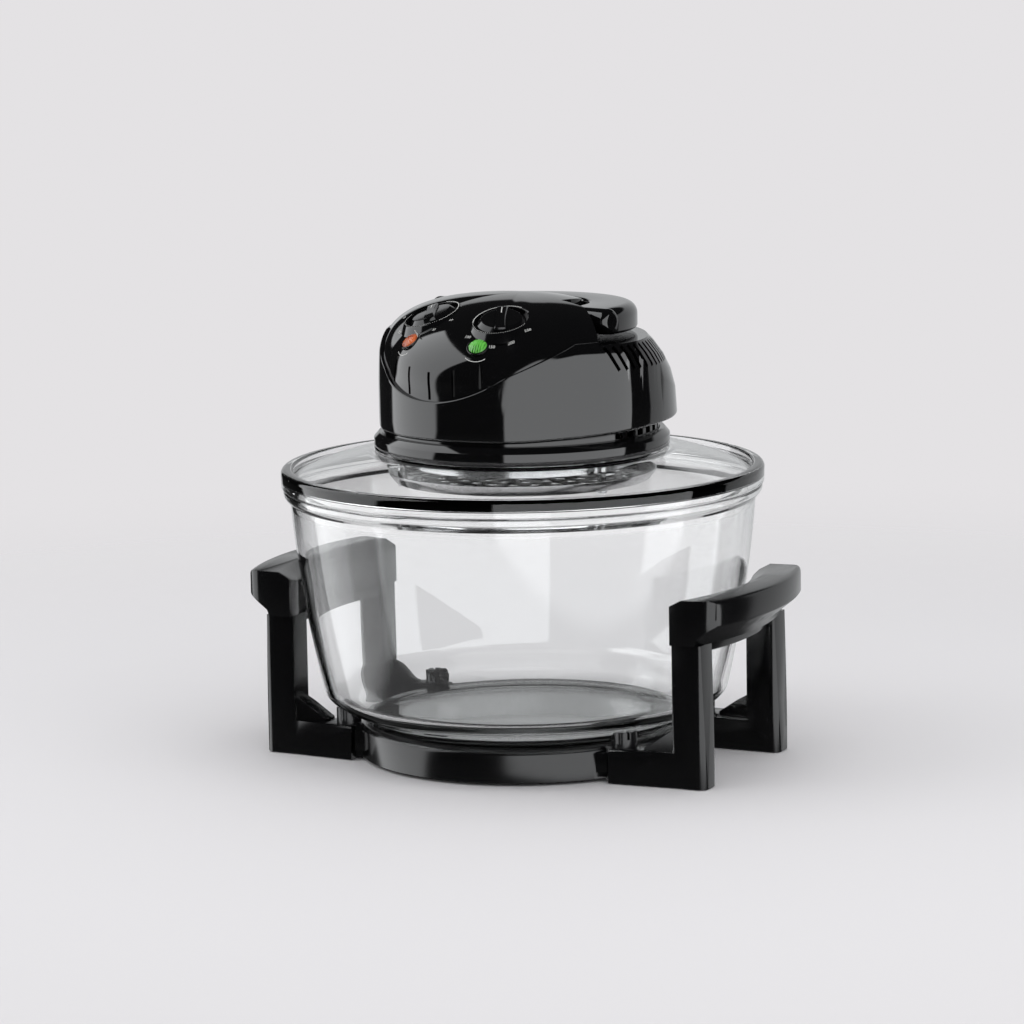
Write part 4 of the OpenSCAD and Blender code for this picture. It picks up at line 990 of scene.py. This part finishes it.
def grown(name, tree, **values):
    """The plain mesh that a geometry tree makes with these inputs."""
    one = linked(name, bpy.data.meshes.new(name))
    maker = one.modifiers.new("maker", "NODES")
    maker.node_group = tree
    for item in tree.interface.items_tree:
        if item.item_type == "SOCKET" and item.in_out == "INPUT" and item.name in values:
            maker[item.identifier] = values[item.name]
    return frozen(one)


def figure(text, turn):
    """A number set upright at an angle from a dial's lower side, as a flat mesh."""
    curve = bpy.data.curves.new("figure", "FONT")
    curve.body, curve.size, curve.resolution_u = text, figure_size, 3
    curve.align_x, curve.align_y = "CENTER", "CENTER"
    mesh = frozen(linked("figure", curve))
    a = radians(turn)
    mesh.transform(moved(figure_reach * sin(a), -figure_reach * cos(a), 0)
                   @ Matrix.Rotation(a * 0.35, 4, "Z"))
    return mesh


def flat_arc(name, inner, outer, start, sweep, steps, high):
    """A flat band along an arc about the axis, from a start in degrees."""
    angles = [radians(start + sweep * k / steps) for k in range(steps + 1)]
    rows = [[(r * cos(a), r * sin(a), high) for a in angles] for r in (outer, inner)]
    return mesh_of(name, skinned(rows, around=False), outward=False)


dots = ring_of_dots()
for side, title in ((-1, "timer_scale"), (1, "thermostat_scale")):
    lean = dial_places[side] @ moved(0, 0, collar_top) @ turned(-side * collar_lean, "Y")
    collar = revolved("collar", rounded_line([
        (collar_in, collar_foot, 0), (collar_foot_r, collar_foot, 0), (collar_out, 0, 0.8),
        (collar_in, 0, 0.3)]), steps=144)
    smooth(collar, 40)
    head_piece(title + "_collar", collar, lean, "lid", head_plastic)
    row = grown("dots", dots, Count=dot_count, Radius=dot_ring, Start=radians(dot_start),
                Sweep=radians(dot_sweep), Dot=dot_r, Material=print_and_highlight_white)
    row.transform(lean @ moved(0, 0, decal_lift))
    figures = [laid_on_cover(figure(text, turn), dial_places[side]) for text, turn in scales[side]]
    scale = gathered(title, [row] + figures)
    smooth(scale, 60)
    head_piece(title, scale, Matrix(), "lid", print_and_highlight_white)
    # The pale line on the far half is a painted highlight of the collar's edge
    line = flat_arc(title + "_line", painted_highlight_in, painted_highlight_out, painted_highlight_start, painted_highlight_sweep, painted_highlight_steps, decal_lift)
    head_piece(title + "_line", line, lean, "lid", print_and_highlight_white)

# Lamps
# Two small lamps sit in the front panel: red for power at the left, green for heat at the right.
# Each has a ribbed plastic lens in a black bezel, and a thin pale arc is printed under it.
lens_foot, lens_rise, lens_ribs, lens_rib_deep, lens_steps = -8.0, 2.1, 12, 0.16, 96
bezel_foot, bezel_top, bezel_wide = -0.85, 0.5, 1.3
arc_in, arc_out, arc_start, arc_sweep, arc_steps = 11.0, 11.4, -128, 76, 48


def lens_plastic(name, deep, bright, streaks, glow):
    """A coloured lens, clouded from deep to bright, with fine streaks moulded in it."""
    made, tree, surface = shader(name, {"Emission Strength": glow, "Roughness": 0.08})
    bands = add_node(tree, "ShaderNodeTexWave", {"Vector": spot(tree), "Scale": 190.0, "Distortion": 3.5,
                                                 "Detail": 3.0}).outputs["Fac"]
    clouds = soft_step(tree, noise(tree, 120.0), 0.3, 0.75)
    colour = blended(tree, maths(tree, "MULTIPLY_ADD", bands, streaks, clouds), (0, deep), (1, bright))
    feed(surface, {"Base Color": colour, "Emission Color": colour})
    return made


def lens_form():
    """A domed lens with ribs, and its round stem."""
    profile = [(lamp_r - 0.3, lens_foot), (lamp_r, lens_foot + 0.3), (lamp_r, 0.2)]
    profile += [(lamp_r * cos(t), 0.3 + lens_rise * sin(t))
                for t in (pi / 18 * k for k in range(9))]
    rows = [[(0, 0, lens_foot)]]
    for r, z in profile:
        row = []
        for a in full_turn(lens_steps):
            ribbed = r - lens_rib_deep * max(0, z) * (1 - cos(lens_ribs * a))
            row.append((ribbed * cos(a), ribbed * sin(a), z))
        rows.append(row)
    return mesh_of("lens", skinned(rows + [[(0, 0, lens_rise + 0.3)]]), 50)


red_lens = lens_plastic("red_lens", (0.16, 0.008, 0.003, 1), (0.6, 0.15, 0.05, 1), 0.2, 0.1)
green_lens = lens_plastic("green_lens", (0.003, 0.06, 0.003, 1), (0.12, 0.46, 0.07, 1), 1.1, 0.06)
for side, title, lens, slot in ((-1, "power", red_lens, "red_lens"), (1, "heat", green_lens, "green_lens")):
    head_piece(title + "_lens", lens_form(), lamp_places[side], "lid", lens, title + "_lamp")
    bezel = revolved("bezel", rounded_line([
        (lamp_r + 0.05, bezel_foot, 0), (lamp_r + bezel_wide, bezel_foot, 0),
        (lamp_r + bezel_wide, bezel_top, 0.4), (lamp_r + 0.05, bezel_top, 0.3)]), steps=72)
    head_piece(title + "_bezel", bezel, lamp_places[side], "lid", dial_black)
    arc = flat_arc(title + "_arc", arc_in, arc_out, arc_start, arc_sweep, arc_steps, 0)
    head_piece(title + "_arc", laid_on_cover(arc, lamp_places[side]), Matrix(), "lid", print_and_highlight_white)

# Carry handle
# A bow of glossy black plastic lies on the deck behind the dials and swings up on two pins. Its
# arms end in round bosses with a blind bore for the pin.
bow_in, bow_out, bow_low, bow_edge, bow_steps = 45.0, 78.0, deck_z + 2.6, 2.2, 96
bow_axis = bow_low + bow_thick / 2


def bow_form():
    """The half ring of the bow, with its two bosses."""
    bow_top = bow_low + bow_thick
    line = rounded_line([(bow_in, bow_low, bow_edge), (bow_out, bow_low, bow_edge),
                         (bow_out, bow_top, 10.0), (bow_in, bow_top, bow_edge)], cuts=9)
    rows = [[(r * cos(a), pivot_y + r * sin(a), z) for r, z in line]
            for a in (pi * k / bow_steps for k in range(bow_steps + 1))]
    half = bow_thick / 2
    boss_line = rounded_line([(0, bow_in, 0), (half, bow_in, 2.0), (half, bow_out, 8.7), (0, bow_out, 0)],
                             closed=False, cuts=10)
    bosses = []
    for side in (-1, 1):
        boss = revolved("boss", boss_line, closed=False, steps=96)
        boss.transform(moved(0, pivot_y, bow_axis) @ turned(90 * side, "Y"))
        bosses.append(boss)
    return combined("UNION", mesh_of("bow", skinned(rows, capped=True)), *bosses)


sockets = gathered("sockets", pin_bores(bow_in - 1, bow_in + 10.3, bow_axis))
bow = combined("DIFFERENCE", bow_form(), sockets)
smooth(bow, 24)
head_piece("bow", bow, Matrix(), "carry_handle", head_plastic, "carry_handle")

# Handle pins
# Two zinc-plated steel pins stand in the cover's tongue and carry the handle's bosses. In metres
# again from here, as before the housing.
eased_piece("pins", "handle_pins", 0.0003, "lid", zinc)

# Housing screws
# Four pan-head screws of zinc-plated steel go up through the flange into the housing and hold it
# down on the neck.
eased_piece("cover_screws", "housing_screws", screw_edge, "lid", zinc)

# Terminal block
# A pale moulded block with three wells for its clamp screws stands on the flange, by the gland.
# The mains wires end in it.
eased_piece("terminals", "terminal_block", 0.0005, "lid", switch_case)

# Cord gland
# A black rubber gland, pressed into the housing's rear wall. The photograph shows no cord, so none
# is made.
gland_rubber = dusty_matte("gland_rubber", (0.022, 0.022, 0.023, 1), (0.06, 0.06, 0.06, 1), 0.6)
eased_piece("gland", "cord_gland", 0.0006, "lid", gland_rubber)
